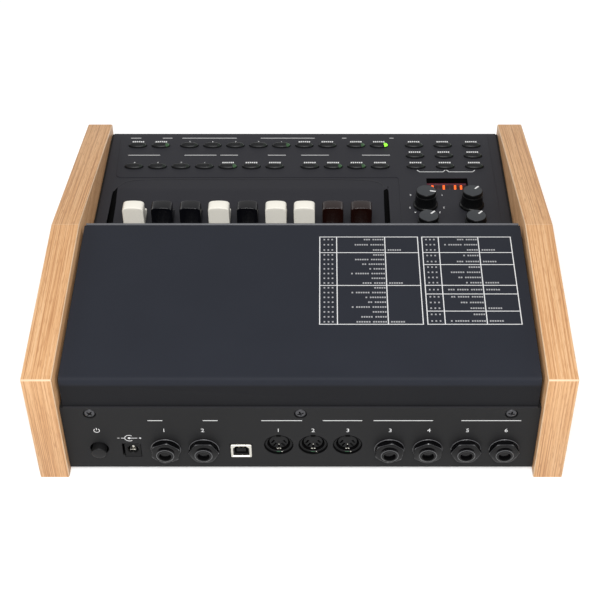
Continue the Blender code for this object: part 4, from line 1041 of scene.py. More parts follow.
def cap_profile():
    """Up the back, over the crest, down the hollowed front and back along the underside."""
    t = np.linspace(0, math.pi / 2, 12)
    hollow = np.stack([
        -CAP_DEPTH + 0.25 + (CAP_DEPTH - CAP_TOP - 0.35) * np.cos(t),
        CAP_HEIGHT - CAP_BROW - (CAP_HEIGHT - CAP_BROW - CAP_TOE) * np.sin(t),
    ], -1)
    t = np.linspace(0, math.pi / 2, 6)
    corner = np.array([-BACK_ROUND, CAP_HEIGHT - BACK_ROUND])
    back = corner + BACK_ROUND * np.stack([np.cos(t), np.sin(t)], -1)
    t = np.linspace(math.pi / 2, math.pi * 1.1, 7)
    lip = np.stack([-CAP_TOP + 0.9 + 0.95 * np.cos(t), CAP_HEIGHT - 1.75 + 0.95 * np.sin(t)], -1)
    toe = [(-CAP_DEPTH, 2.1), (-CAP_DEPTH, 0.5), (-CAP_DEPTH + 0.5, 0.0)]
    heel = [(-0.4, 0.0), (0.0, 0.4), (0.0, 4.0), (0.0, 8.0), (0.0, 12.0), (0.0, 15.0)]
    return np.concatenate([heel, back, lip, hollow, toe])


def cap_rings():
    """The profile at places across the cap, whose crest falls by 0.9 s^2 + 1.6 s^8 sideways."""
    profile = cap_profile()
    t = np.linspace(0, math.pi / 2, 6)
    side = CAP_WIDTH / 2 - CAP_SIDE * (1 - np.sin(t))
    drawn = 0.5 * (1 - np.cos(t))
    inner = np.linspace(side[0], -side[0], 21)[1:-1]
    across = np.concatenate([side[::-1], inner, -side])
    inset = np.concatenate([drawn[::-1], np.zeros(len(inner)), drawn])
    rings = np.stack([grown(profile, -d) for d in inset])
    share = (across / (CAP_WIDTH / 2))[:, None]
    fall = 0.9 * share**2 + 1.6 * share**8
    height = np.clip(rings[..., 1] / CAP_HEIGHT, 0, 1)
    z = rings[..., 1] - fall * height**3
    return np.stack([np.broadcast_to(across[:, None], z.shape), rings[..., 0], z], -1) * MM


def make_drawbar(node, finish):
    """Cap, stem and tongue, and eight marks along the stem, each an eighth of the travel apart."""
    low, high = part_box(node)
    rear_y = low.y + CAP_DEPTH * MM
    foot_z = high.z - CAP_HEIGHT * MM
    x = (low.x + high.x) / 2
    piece = Piece(node + "_bar", in_place, finish, STEM, PRINT)
    piece.rings(cap_rings(), (x, rear_y, foot_z))
    stem_low, stem_high = foot_z + STEM_LOW * MM, foot_z + STEM_HIGH * MM
    outline = rectangle(STEM_WIDTH * MM, stem_high - stem_low, 0.4 * MM)
    stem = slab(outline, rear_y - 5 * MM, high.y, 0.3 * MM)[..., [0, 2, 1]]
    piece.rings(stem, (x, 0, (stem_low + stem_high) / 2), 1)
    tongue_y = high.y - 2.5 * MM
    tongue = slab(rectangle(1.0 * MM, 3.0 * MM, 0.2 * MM), low.z, stem_low + 0.8 * MM, 0.1 * MM)
    piece.rings(tongue, (x, tongue_y, 0), 1)
    steps = np.arange(STEP_COUNT)
    marks = rear_y + (2.4 + steps * DRAWBAR_TRAVEL / STEP_COUNT) * MM
    starts = np.stack([np.full(STEP_COUNT, x - 3.9 * MM), marks + 1.7 * MM], -1)
    ends = starts + (7.8 * MM, 0)
    piece.bars(starts, ends, 0.22 * MM, 0.04 * MM, stem_high, 2)
    for step, y in zip(steps, marks):
        piece.text(str(STEP_COUNT - step), 2.6 * MM, (x, y), stem_high, 2)
    return piece.make(node, (node,), 36)


for index, (finish, slot) in enumerate(CAPS):
    make_drawbar(f"drawbar_{index + 1}", finish)
print("drawbars:", len(CAPS))

# %% [markdown]
# ## Display
# The display is a sunk block behind a dark grey window, with a dim warm line of its own light
# along the foot. A picture on the glass would be flat from the side, so the three figures are
# seven thin bars each: those that are on glow, and the others stay as dim shapes.

# %% Display
STROKES = {
    "top": ((-1, 2), (1, 2)), "upper_right": ((1, 2), (1, 0)), "lower_right": ((1, 0), (1, -2)),
    "bottom": ((-1, -2), (1, -2)), "lower_left": ((-1, -2), (-1, 0)), "upper_left": ((-1, 0), (-1, 2)),
    "middle": ((-1, 0), (1, 0)),
}
FIGURES = {"H": set(STROKES) - {"top", "bottom"}, "1": {"upper_right", "lower_right"}}
SHOWN = "H11"
FIGURE_PITCH = 7.6 * MM
HALF_FIGURE = (2.0 * MM, 3.1 * MM)
FIGURE_LEAN = 0.12 * MM
STROKE_WIDTH = 1.4 * MM
DISPLAY_DEPTH = 3.3 * MM


def make_display(node):
    """A stroke runs between two points of its figure, less a tenth of the way at each end."""
    low, high = panel_box(node)
    u, v, _ = (low + high) / 2
    top = high[2]
    face = top - DISPLAY_DEPTH
    piece = Piece(node + "_unit", on_panel, SHADE_BLACK, WINDOW, SEGMENT_LIT, SEGMENT_OFF, WINDOW_GLOW)
    outer = rectangle(high[0] - low[0], high[1] - low[1], 0.4 * MM)
    inner = rectangle(*WINDOW_SIZE, 0.3 * MM, centre=(0, WINDOW_V - v))
    # The block and the walls of the recess round the window are painted black as shade.
    piece.rings(stack([outer, outer, inner, inner], [low[2], top, top, face - 0.3 * MM]), (u, v, 0))
    glass = rectangle(*(size - 0.1 * MM for size in WINDOW_SIZE), 0.3 * MM)
    piece.rings(slab(glass, face - 0.25 * MM, face, 0.05 * MM), (u, WINDOW_V, 0), 1)
    foot = WINDOW_V - WINDOW_SIZE[1] / 2 + 0.3 * MM
    piece.bars([(u - 13.2 * MM, foot)], [(u + 13.2 * MM, foot)], 0.45 * MM, 0.9 * MM, face, 4)
    for index, figure in enumerate(SHOWN):
        middle = np.array([u + (index - 1) * FIGURE_PITCH, WINDOW_V])
        for stroke, ends in STROKES.items():
            a, b = (np.array(end) * HALF_FIGURE + (end[1] * FIGURE_LEAN, 0) for end in ends)
            short = (b - a) * 0.1
            lit = 2 if stroke in FIGURES[figure] else 3
            piece.bars([middle + a + short], [middle + b - short], STROKE_WIDTH, PAINT, face, lit)
    return piece.make("case", (node,), 30)


print(make_display("display_module").name)

# %% [markdown]
# ## Jack sockets
# Each jack is a threaded bushing through the panel with a washer and a six-sided nut. The
# nut's corners are chamfered where it meets the washer, and the bore goes down into the
# socket's body, where a spring contact waits for the plug. All of it is turned on a lathe but
# the nut, whose corners are a hexagon's, drawn in to a circle wherever they reach past it.

# %% Jacks
# The six nuts stand at the angles at which a spanner left them.
POINT_UP, FLAT_UP, ASKEW = math.radians(30), 0.0, math.radians(22)
NUT_TURNS = [ASKEW, FLAT_UP, ASKEW, POINT_UP, FLAT_UP, FLAT_UP]
NUT_FLATS, NUT_CORNER, NUT_CHAMFER = 15.5 * MM, 8.8 * MM, 8.35 * MM
THREAD_RADIUS, THREAD_DEPTH, THREAD_STEP, THREAD_START = 5.15, 0.22, 0.13, 4.0
JACK_SPRING_OUT = 2.9 * MM
WASHER = np.array([(5.9, 0.02), (8.5, 0.02), (8.75, 0.15), (8.75, 0.5), (8.45, 0.8), (5.9, 0.8)]) * MM
JACK_BORE = [(4.75, 5.85), (4.5, 6.0), (3.6, 6.0), (3.3, 5.8), (3.2, 5.3), (3.2, -12.0), (1.2, -12.2)]
BOARD_DEPTH, BOARD_THICKNESS, BOARD_BACK = 26.0 * MM, 1.6 * MM, 2.2 * MM
BLOCK_BASE, WELL_LENGTH = 13.1, 8


def jack_parts(piece, x, nut_turn):
    """The thread's radius is 5.15 mm less 0.22 mm at every other step of 0.13 mm."""
    centre = socket_centre(x, JACK_Z)
    # The fourth row of the washer and of the nut, their front bevels, are painted glints.
    piece.rings(turned(WASHER, 64), centre, [0, 0, 0, 3, 0])
    count = 72
    body = hexagon(NUT_FLATS, count, nut_turn)
    size = np.linalg.norm(body, axis=1)[:, None]
    sides = body * np.minimum(1, NUT_CORNER / size)
    chamfer = body * np.minimum(1, NUT_CHAMFER / size)
    foot, top = oval(7.55 * MM, 7.55 * MM, count), oval(7.35 * MM, 7.35 * MM, count)
    heights = np.array([0.8, 1.0, 1.5, 3.6, 4.0, 4.3]) * MM
    piece.rings(stack([foot, chamfer, sides, sides, chamfer, top], heights), centre, [0, 0, 0, 3, 0])
    turns = np.arange(0, 13)
    thread = [THREAD_RADIUS - THREAD_DEPTH * (turns % 2), THREAD_START + turns * THREAD_STEP]
    barrel = [(1.2, -13.5), (THREAD_RADIUS, -13.5), (THREAD_RADIUS, THREAD_START)]
    profile = np.concatenate([barrel, np.stack(thread, -1), JACK_BORE]) * MM
    # The rim past the last turn is painted bright as a glint, and the bore inside it is painted dark as
    # shade.
    edges = np.zeros(len(profile) - 1, int)
    edges[-7] = 3
    edges[-4:] = 4
    piece.rings(turned(profile, 64), centre, edges)
    spring = slab(rectangle(1.6 * MM, 0.4 * MM, 0.1 * MM), -11.0 * MM, -1.5 * MM, 0.1 * MM)
    piece.rings(spring, centre + (0, JACK_SPRING_OUT, 0), 2)
    tip = slab(rectangle(0.4 * MM, 1.6 * MM, 0.1 * MM), -10.5 * MM, -4.5 * MM, 0.1 * MM)
    piece.rings(tip, centre + (-JACK_SPRING_OUT, 0, 0), 2)


def board_slab(piece, node, finish=1):
    """The circuit board itself: as wide as the solid, 26 mm deep and 1.6 mm thick."""
    low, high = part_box(node)
    outline = rectangle(high.x - low.x, BOARD_DEPTH, 0.6 * MM, 3, (-(low.x + high.x) / 2, 0))
    grid = slab(outline, low.z, low.z + BOARD_THICKNESS, 0.1 * MM, 1)
    grid = np.stack([grid[..., 0], grid[..., 2], grid[..., 1] - BOARD_BACK - BOARD_DEPTH / 2], -1)
    piece.rings(grid, finish=finish)


def hollow_block(piece, x, width, height, front, rear, hole_z, hole):
    """A block whose rear face opens into a round well: rays from its axis meet side and well."""
    ray = oval(1, 1, 64)
    centre = socket_centre(x, hole_z)
    low = np.array([-x - width / 2, BLOCK_BASE]) * MM - centre[:2]
    high = np.array([-x + width / 2, BLOCK_BASE + height]) * MM - centre[:2]
    outline = ray * to_sides(ray, low, high)[:, None]
    well = ray * hole * MM
    heights = np.array([front, rear, rear, front + WELL_LENGTH]) * MM
    piece.rings(stack([outline, outline, well, well], heights), centre)


def make_jack_board(node, indices):
    """A board with a hollow block and a jack for each index."""
    piece = Piece(node + "_unit", on_rear, JACK_BLACK, BOARD_GREEN, BRASS, EDGE_GLINT, SHADE_BLACK)
    board_slab(piece, node)
    for index in indices:
        jack_parts(piece, JACKS[index], NUT_TURNS[index])
        hollow_block(piece, JACKS[index], 16.0, 14.5, -24.0, -1.5, JACK_Z, 5.45)
    return piece.make("case", (node,), 34)


print(make_jack_board("pedal_socket_board", (0, 1)).name)
print(make_jack_board("audio_socket_board", (2, 3, 4, 5)).name)

# %% [markdown]
# ## Data sockets
# The square socket is a folded, plated shell whose mouth has two cut corners, round a tongue
# with four contacts. The round ones have a grey collar just behind the panel's hole and a
# grey core behind that. Five slots slant outward on an arc of the core, where the plug's pins
# go in. A boolean would cut them too, but a fine grid whose height drops at a slot can't fail.
# The collar's rim and inside, the shell, the key and the slots are painted black as shade.

# %% Data sockets
USB_HALF = np.array([6.02, 5.45]) * MM
MOUTH_X, MOUTH_Y, MOUTH_CUT = 4.6, 4.15, 1.8
USB_MOUTH = np.array([
    (-MOUTH_X, -MOUTH_Y), (MOUTH_X, -MOUTH_Y), (MOUTH_X, MOUTH_Y - MOUTH_CUT),
    (MOUTH_X - MOUTH_CUT, MOUTH_Y), (-MOUTH_X + MOUTH_CUT, MOUTH_Y), (-MOUTH_X, MOUTH_Y - MOUTH_CUT),
]) * MM
CONTACT_X, CONTACT_Y = 1.25 * MM, 1.62 * MM


def usb_parts(piece):
    """The shell's two outlines share their rays: even ones, and one through each corner of either."""
    centre = socket_centre(USB_X, USB_Z)
    shell = rounded(USB_HALF * [(-1, -1), (1, -1), (1, 1), (-1, 1)], 0.6 * MM, 3)
    corners = np.concatenate([USB_MOUTH, shell])
    even = np.radians(np.arange(-176, 180, 8.0))
    angle = np.sort(np.concatenate([np.arctan2(corners[:, 1], corners[:, 0]), even]))
    ray = np.stack([np.cos(angle), np.sin(angle)], -1)
    outer = ray * to_outline(ray, shell)[:, None]
    inner = ray * to_outline(ray, USB_MOUTH)[:, None]
    outlines = [outer, outer, grown(outer, -0.25 * MM), grown(inner, 0.2 * MM), inner, inner]
    piece.rings(stack(outlines, np.array([-16.5, 0.45, 0.7, 0.7, 0.45, -8.5]) * MM), centre, 2)
    lining = [grown(inner, -depth * MM) for depth in (0.02, 0.02, 0.8, 0.8)]
    piece.rings(stack(lining, np.array([-8.5, -0.6, -0.9, -8.4]) * MM), centre)
    piece.rings(slab(rectangle(5.6 * MM, 3.2 * MM, 0.25 * MM), -9.5 * MM, -0.5 * MM, 0.2 * MM), centre)
    strip = slab(rectangle(1.0 * MM, 0.12 * MM, 0.03 * MM, 1), -8.0 * MM, -1.0 * MM, 0.04 * MM)
    for a in (-CONTACT_X, CONTACT_X):
        for b in (-CONTACT_Y, CONTACT_Y):
            piece.rings(strip, centre + (a, b, 0), 3)


SLOT_PLACES = np.array([(-3.4, 0.0), (-2.35, -2.5), (0.0, -3.5), (2.35, -2.5), (3.4, 0.0)]) * MM
SLOT_TURNS = np.radians([236, 236, 270, 304, 304])
SLOT_REACH, SLOT_HALF = 1.4 * MM, 0.48 * MM
CORE_FACE, SLOT_DEPTH = -2.6 * MM, 2.6 * MM
# Place, size, top and finish of each leaf at the foot of a round socket. The last, in board green, is a
# painted green reflection.
DIN_SPRINGS = [
    ((-0.75, -5.95), (1.1, 0.6), -2.2, 2), ((0.75, -5.95), (1.1, 0.6), -2.2, 2),
    ((0.0, -2.3), (0.6, 0.6), -2.5, 2), ((1.8, -7.1), (0.8, 0.4), -0.9, 2),
    ((-0.2, -7.2), (2.4, 0.4), -1.0, 1),
]
DIN_COLLAR = np.array([
    (6.75, -7.0), (8.1, -7.0), (8.1, -0.05), (7.98, -0.05), (7.9, -1.2), (6.9, -1.2), (6.65, -1.45),
    (6.65, -6.9),
]) * MM
DIN_SHELL = np.array([(6.3, -7.0), (6.57, -7.0), (6.57, -2.4), (6.3, -2.4), (6.25, -2.6), (6.25, -6.9)]) * MM


def din_core(piece, centre):
    """A disc whose face drops by the slot's depth wherever a place lies within a slot.

    It does when its steps along and across the slot's line, from its middle, are both short."""
    count = 192
    t = np.arange(count) * 2 * math.pi / count
    inward = np.linspace(5.35, 0.6, 34)
    radius = np.concatenate([[5.5, 5.5], inward])[:, None] * MM
    level = np.concatenate([[-7.2 * MM, CORE_FACE - 0.15 * MM], np.full(len(inward), CORE_FACE)])[:, None]
    x, y = radius * np.cos(t), radius * np.sin(t)
    dx, dy = x[..., None] - SLOT_PLACES[:, 0], y[..., None] - SLOT_PLACES[:, 1]
    along = dx * np.cos(SLOT_TURNS) + dy * np.sin(SLOT_TURNS)
    across = dy * np.cos(SLOT_TURNS) - dx * np.sin(SLOT_TURNS)
    sunk = ((np.abs(along) < SLOT_REACH) & (np.abs(across) < SLOT_HALF)).any(-1)
    grid = np.stack([x, y, level - SLOT_DEPTH * sunk], -1)
    # The slots and the core's side are painted black as shade.
    finish = np.where(sunk[:-1] | sunk[1:], 4, 5)
    finish[0] = 4
    piece.rings(grid, centre, finish, (0, 0))


def din_parts(piece, x):
    """Collar, shell and core turned round one axis, a key at the top and leaves at the foot."""
    centre = socket_centre(x, DIN_Z)
    # The collar's front rim and its inside are painted black as shade.
    piece.rings(turned(DIN_COLLAR, 64), centre, [0, 0, 4, 4, 5, 5, 4])
    piece.rings(turned(DIN_SHELL, 64), centre, 4)
    din_core(piece, centre)
    key = slab(rectangle(2.7 * MM, 1.7 * MM, 0.3 * MM), -3.0 * MM, 0.06 * MM, 0.05 * MM)
    piece.rings(key, centre + (0, 8.1 * MM, 0), 4)
    for place, size, top, finish in DIN_SPRINGS:
        outline = rectangle(*(np.array(size) * MM), 0.12 * MM)
        leaf = slab(outline, -6.0 * MM, top * MM, 0.08 * MM)
        piece.rings(leaf, centre + (*(np.array(place) * MM), 0), finish)


def make_data_board(node):
    """A board with the square socket and, for each round one, its parts and a hollow block."""
    piece = Piece(node + "_unit", on_rear, BLACK, BOARD_GREEN, SHELL, BRASS, SHADE_BLACK, SOCKET_GREY)
    board_slab(piece, node)
    usb_parts(piece)
    for x in DINS:
        din_parts(piece, x)
        hollow_block(piece, x, 17.6, 19.5, -15.5, -1.5, DIN_Z, 8.12)
    return piece.make("case", (node,), 34)


print(make_data_board("data_socket_board").name)

# %% [markdown]
# ## Power
# The inlet is a moulded block with a round mouth and a centre pin. The power button is a
# plain domed plunger in a wider round hole, on a thin stem that reaches back to its switch.
# Both are stacks of rings: rays from the axis give the inlet's square side and round mouth.

# %% Power inlet and button
INLET_LOW, INLET_HIGH = np.array([-4.65, -6.5]) * MM, np.array([4.65, 4.8]) * MM
INLET_MOUTH, INLET_FUNNEL = 3.15, 3.45
INLET_PIN = np.array([(1.0, -9.9), (1.0, -2.6), (0.8, -2.2), (0.4, -2.05)]) * MM
PLUNGER_RADIUS, PLUNGER_ROUND, PLUNGER_BACK = 4.2, 0.6, -3.7


def make_power_board(node):
    """A board with the inlet, its pin and leaf, and the hollow block of the push switch."""
    piece = Piece(node + "_unit", on_rear, BLACK, BOARD_GREEN, SHELL)
    # The board is black, not green, so that through the slit and round the button it shows as painted shade.
    board_slab(piece, node, 0)
    centre = socket_centre(INLET_X, INLET_Z)
    ray = oval(1, 1, 64)
    outer = ray * to_sides(ray, INLET_LOW, INLET_HIGH)[:, None]
    mouth = ray * INLET_MOUTH * MM
    outlines = [outer, outer, outer * 0.98, ray * INLET_FUNNEL * MM, mouth, mouth]
    piece.rings(stack(outlines, np.array([-14.2, -0.15, 0, 0, -0.3, -9.5]) * MM), centre)
    piece.rings(turned(INLET_PIN, 32), centre, 2)
    leaf = slab(rectangle(3.6 * MM, 0.5 * MM, 0.15 * MM), -9.0 * MM, -1.6 * MM, 0.1 * MM)
    piece.rings(leaf, centre + (-0.3 * MM, -2.3 * MM, 0), 2)
    hollow_block(piece, POWER_X, 12.0, 13.2, -24.0, -6.5, POWER_Z, 2.35)
    return piece.make("case", (node,), 34)


def make_power_button(node):
    """A stem and a plunger turned in one, whose rim is a quarter round under a shallow dome."""
    low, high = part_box(node)
    out = (high.y - REAR_Y) / MM
    back = (low.y - REAR_Y) / MM
    t = np.linspace(0, math.pi / 2, 6)
    side = PLUNGER_RADIUS - PLUNGER_ROUND * (1 - np.cos(t))
    rim = np.stack([side, out - 0.75 + PLUNGER_ROUND * np.sin(t)], -1)
    dome = [(2.6, out - 0.06), (1.2, out - 0.01), (0.4, out)]
    stem = [(2.0, back), (2.0, PLUNGER_BACK), (4.0, PLUNGER_BACK), (PLUNGER_RADIUS, -3.4)]
    profile = np.concatenate([stem, rim, dome]) * MM
    piece = Piece(node + "_cap", on_rear, POWER_PLASTIC)
    piece.rings(turned(profile, 64), socket_centre(POWER_X, POWER_Z))
    return piece.make(node, (node,), 40)


print(make_power_board("power_board").name, make_power_button("power_button").name)

# %% [markdown]
# ## Case screws
# Three pan-head screws with a cross recess hold the cover's rear flange. They sit sunk in
# round holes of the socket panel, so the cover's steel shows as a dark ring round each. A
# head is turned, and one tapered cross for each is cut out of it at its own angle, since real
# screws are never driven home alike.

# %% Screws
CROSS_HALF, CROSS_REACH = 0.5 * MM, 2.1 * MM
CROSS_TAPER = 0.4
HEAD_RADIUS, HEAD_FLAT, HEAD_HEIGHT = 2.55, 0.6, 0.75


def make_screws():
    """The crown is a quarter oval: its radius 0.6 + 2.55 cos t, its height 0.75 (sin t - 1) mm."""
    heads = Piece("rear_screws", on_rear, DARK_METAL)
    crosses = Piece("crosses", on_rear)
    t = np.linspace(0, math.pi / 2, 6)
    crown = np.stack([HEAD_FLAT + HEAD_RADIUS * np.cos(t), -HEAD_HEIGHT + HEAD_HEIGHT * np.sin(t)], -1)
    profile = np.concatenate([[(1.6, -4.5), (1.6, -1.35), (3.15, -1.35)], crown]) * MM
    corner = np.array([(CROSS_HALF, CROSS_HALF), (CROSS_HALF, CROSS_REACH), (-CROSS_HALF, CROSS_REACH)])
    quarter = np.array([[0, 1], [-1, 0]])
    arm = np.concatenate([corner @ np.linalg.matrix_power(quarter, index) for index in range(4)])[::-1]
    for x in SCREWS:
        centre = socket_centre(x, SCREW_Z)
        heads.rings(turned(profile, 40), centre)
        turn = math.radians(20 + x)
        spin = np.array([[math.cos(turn), math.sin(turn)], [-math.sin(turn), math.cos(turn)]])
        crosses.rings(stack([arm * CROSS_TAPER @ spin, arm @ spin], np.array([-2.2, 0.3]) * MM), centre)
    made = heads.make("case")
    carve(made, loose(crosses))
    return settle(made, "case")


print(make_screws().name)

# %% [markdown]
# ## Printed lines and figures
# The legends are screen printed: thin white lines over each group of buttons, plain figures
# by numbered buttons, a ruled chart on the cover and rules over the sockets. A picture could
# carry them, but thin bars stay sharp at any distance. So the print is a skin of paint a
# twentieth of a millimetre thick, and rows of small blocks give the look of fine type.

# %% Rules and rows of small blocks
LETTER, LETTER_GAP, LETTER_HEIGHT = 0.95 * MM, 0.45 * MM, 1.15 * MM
WORD_GAP = 0.8
RULE = 0.5 * MM


def ruled(piece, pairs, height, level=0.0):
    """A level line for each pair of places in millimetres, all at one height on the face."""
    ends = np.array(pairs) * MM
    along = np.full(len(ends), height * MM)
    piece.bars(np.stack([ends[:, 0], along], -1), np.stack([ends[:, 1], along], -1), RULE, level=level)


def dashes(piece, x, y, count, pitch=LETTER + LETTER_GAP, level=0.0, height=LETTER_HEIGHT, finish=1, skip=5):
    """Block n starts at x + (n + 0.8 m) pitch, where m is how many whole words came before it."""
    place = np.arange(count)
    starts = x + (place + place // skip * WORD_GAP) * pitch
    level_y = np.full(count, y)
    near = np.stack([starts, level_y], -1)
    piece.bars(near, near + (LETTER, 0), height, PAINT, level, finish)


print("letter pitch in mm:", round((LETTER + LETTER_GAP) / MM, 2))

# %% [markdown]
# ### The control panel's legend
# A rule spans each group of buttons, and two brackets mark smaller groups above them. The
# nodes of a row count one way and the printed figures the other, so a figure is one number
# less the node's own. The six figures round the selector knob stand for its places.

# %% Print on the control panel
PANEL_RULES = {
    7.3: [(121.5, 114.3), (99.3, 92.4), (85.6, 47.6), (30.8, -6.9), (-26.0, -29.1), (-59.1, -62.1)],
    29.1: [(121.1, 99.2), (82.5, 60.5), (57.8, 45.7), (25.1, 12.8), (2.3, -16.7), (-39.6, -58.8)],
}
BRACKETS = [(-76.4, -95.5), (-96.3, -115.6)]
BRACKET_LOW, BRACKET_HIGH, BRACKET_SLANT = 47.6, 49.8, 1.7
NUMBERED = {"button_memory": 6, "button_preset": 5}
LABEL_STEP = 5.0 * MM
DIAL_PLACES = [(-91.5, 77.5), (-91.8, 91.9), (-88.9, 97.2), (-72.9, 97.2), (-69.6, 91.9), (-70.6, 77.5)]


def make_panel_print():
    """Rules and brackets, a figure or a row of blocks under each button, and the knob's figures."""
    piece = Piece("panel_print", on_panel, PRINT, DIM_PRINT)
    for v, pairs in PANEL_RULES.items():
        ruled(piece, pairs, v, OVERLAY)
    for first, last in BRACKETS:
        top = (first - BRACKET_SLANT, BRACKET_HIGH), (last + BRACKET_SLANT, BRACKET_HIGH)
        path = np.array([(first, BRACKET_LOW), *top, (last, BRACKET_LOW)]) * MM
        piece.bars(path[:-1], path[1:], RULE, level=OVERLAY)
    for name in BUTTONS:
        u, v, _ = panel_centre(name)
        kind, number = name.rsplit("_", 1)
        figure = NUMBERED.get(kind, 0) - int(number)
        if figure > 0:
            piece.text(str(figure), 2.4 * MM, (u, v - LABEL_STEP), OVERLAY)
        else:
            dashes(piece, u - 3.9 * MM, v - LABEL_STEP, 6, level=OVERLAY, height=1.5 * MM, finish=0, skip=9)
    for number, spot in enumerate(np.array(DIAL_PLACES) * MM):
        piece.text(str(number + 1), 2.6 * MM, spot, OVERLAY)
    return piece.make("case")


print(make_panel_print().name)

# %% [markdown]
# ### The charts on the cover
# Two ruled charts list settings for the player. Each has a frame, upright lines between its
# columns and a line under each group of rows. The lengths of the rows of blocks follow a
# sine, so they differ as entries do and stay the same on every run.

# %% Print on the cover
CHARTS = [
    ((-10.8, -70.2), (-21.0, -50.2), (17.2, 91.9), (31.3, 59.8), (3, 7, 8)),
    ((-72.8, -126.7), (-82.8, -106.9), (17.2, 91.9), (31.2, 41.8, 59.7, 67.0, 81.2), (3, 2, 4, 1, 3, 2)),
]
CHART_SHIFT = -0.36 * MM
FRAME_RULE, FRAME_OVERLAP = 0.55 * MM, 0.3 * MM


def make_chart():
    """An entry's row has 9 + 4 sin(2.3 n + 400 y) blocks, for its number n and its group's end y."""
    piece = Piece("cover_chart", on_cover, PRINT, DIM_PRINT)
    for sides, columns, ends, rows, entries in CHARTS:
        xs = np.array([sides[0], *columns, sides[1]]) * MM
        ys = np.array([ends[0], *rows, ends[1]]) * MM + CHART_SHIFT
        left, right = np.full(len(ys), xs[0] + FRAME_OVERLAP), np.full(len(ys), xs[-1] - FRAME_OVERLAP)
        piece.bars(np.stack([left, ys], -1), np.stack([right, ys], -1), RULE)
        near, far = np.full(len(xs), ys[0]), np.full(len(xs), ys[-1])
        piece.bars(np.stack([xs, near], -1), np.stack([xs, far], -1), FRAME_RULE, PAINT * 0.9)
        for start, end, count in zip(ys[:-1], ys[1:], entries):
            for place in range(count):
                y = start + (end - start) * (place + 0.5) / count
                dashes(piece, xs[1] + 2.2 * MM, y, 3, 2.4 * MM, skip=9)
                length = 9 + round(4 * math.sin(place * 2.3 + end * 400))
                dashes(piece, xs[2] + 0.8 * MM, y, length, skip=5 + place % 3)
            dashes(piece, xs[2] - 9.5 * MM, y, 6, skip=9)
    return piece.make("case")


print(make_chart().name)

# %% [markdown]
# ### The socket panel's legend
# A rule stands over each group of sockets and a plain number over each jack and round socket.
# Over the inlet is the common sign for which pole of the plug is positive, and over the power
# button the sign for a switch. Both are short bars along arcs.

# %% Print on the socket panel
REAR_RULES = [(86.7, 78.3), (55.4, 47.0), (22.2, -0.8), (-12.6, -34.9), (-41.4, -75.0), (-91.1, -124.9)]
REAR_RULE_Z = 44.8
LABEL_Z = 36.2
FIGURE_SIZE = 4.2 * MM
MARK_LINE = 0.4 * MM
POLARITY_PLACE = (-98.5, 29.5)
POLARITY_RULES = [[(0.8, 0), (4.6, 0)], [(-2.5, 0), (-4.6, 0)], [(-6.8, 0), (-5.6, 0)], [(5.6, 0), (7.0, 0)]]


def make_rear_print():
    """Rules, a number over each jack and each round socket, and the two signs."""
    piece = Piece("rear_print", on_rear, PRINT)
    ruled(piece, -np.array(REAR_RULES), REAR_RULE_Z)
    for sockets in (JACKS, DINS):
        for number, x in enumerate(sockets):
            piece.text(str(number + 1), FIGURE_SIZE, (-x * MM, LABEL_Z * MM))
    polarity_marks(piece)
    power_mark(piece)
    return piece.make("case")


def arc_bars(piece, centre, radius, start, end, steps=16):
    """A thin open ring: short bars between the points (radius cos t, radius sin t)."""
    t = np.radians(np.linspace(start, end, steps + 1))
    points = centre + radius * np.stack([np.cos(t), np.sin(t)], -1)
    piece.bars(points[:-1], points[1:], MARK_LINE)


def polarity_marks(piece):
    """Minus, an open ring, a dot joined to a plus: the polarity of the inlet."""
    centre = np.array(POLARITY_PLACE) * MM
    arc_bars(piece, centre, 2.5 * MM, 50, 310)
    piece.rings(slab(oval(0.8 * MM, 0.8 * MM, 24), 0, PAINT, 0.01 * MM, 1), (*centre, 0))
    rules = np.array(POLARITY_RULES) * MM
    piece.bars(centre + rules[:, 0], centre + rules[:, 1], MARK_LINE)
    plus = (6.3 * MM, 0.7 * MM)
    piece.bars([centre + (plus[0], -plus[1])], [centre + plus], MARK_LINE, PAINT * 0.9)


def power_mark(piece):
    """An open ring with a short stroke at its top, over the power button."""
    centre = np.array([-POWER_X, LABEL_Z]) * MM
    arc_bars(piece, centre, 1.6 * MM, 125, 415)
    piece.bars([centre + (0, 0.4 * MM)], [centre + (0, 2.2 * MM)], MARK_LINE)


print(make_rear_print().name)

# %% [markdown]
# ## Studio
# A pale floor, a large soft lamp above and behind the module, and two weak ones on the
# player's side, as a catalogue picture has. The floor adds a little light of its own where it
# is seen straight, mirrored or through glass, so it reads as white and still takes a shadow.

# %% Floor and world
FLOOR_SIZE, FLOOR_GLOW = 6.0, 0.30


def make_floor():
    """A square at z = 0; the glow is mixed in for camera, glossy and transmission rays."""
    mesh = bpy.data.meshes.new("floor")
    corners = np.array([(-1, -1, 0), (1, -1, 0), (1, 1, 0), (-1, 1, 0)]) * FLOOR_SIZE / 2
    mesh.from_pydata(corners.tolist(), [], [(0, 1, 2, 3)])
    made = bpy.data.objects.new("floor", mesh)
    bpy.context.scene.collection.objects.link(made)
    finish = Finish("floor_white", (0.80, 0.80, 0.80), 0.9)
    kinds = ("Is Camera Ray", "Is Glossy Ray", "Is Transmission Ray")
    rays = [finish.node("ShaderNodeLightPath", output=kind) for kind in kinds]
    shown_to = finish.math("MAXIMUM", rays[0], finish.math("MAXIMUM", rays[1], rays[2]))
    glow_part = finish.node("ShaderNodeEmission", None, {"Color": (1, 1, 1, 1), "Strength": FLOOR_GLOW})
    plain = Value(finish, finish.shader.outputs[0])
    both = finish.node("ShaderNodeAddShader", None, {0: plain, 1: glow_part})
    chosen = finish.node("ShaderNodeMixShader", None, {0: shown_to, 1: plain, 2: both})
    output = next(node for node in finish.tree.nodes if node.type == "OUTPUT_MATERIAL")
    finish.tree.links.new(chosen.socket, output.inputs["Surface"])
    mesh.materials.append(finish.material)


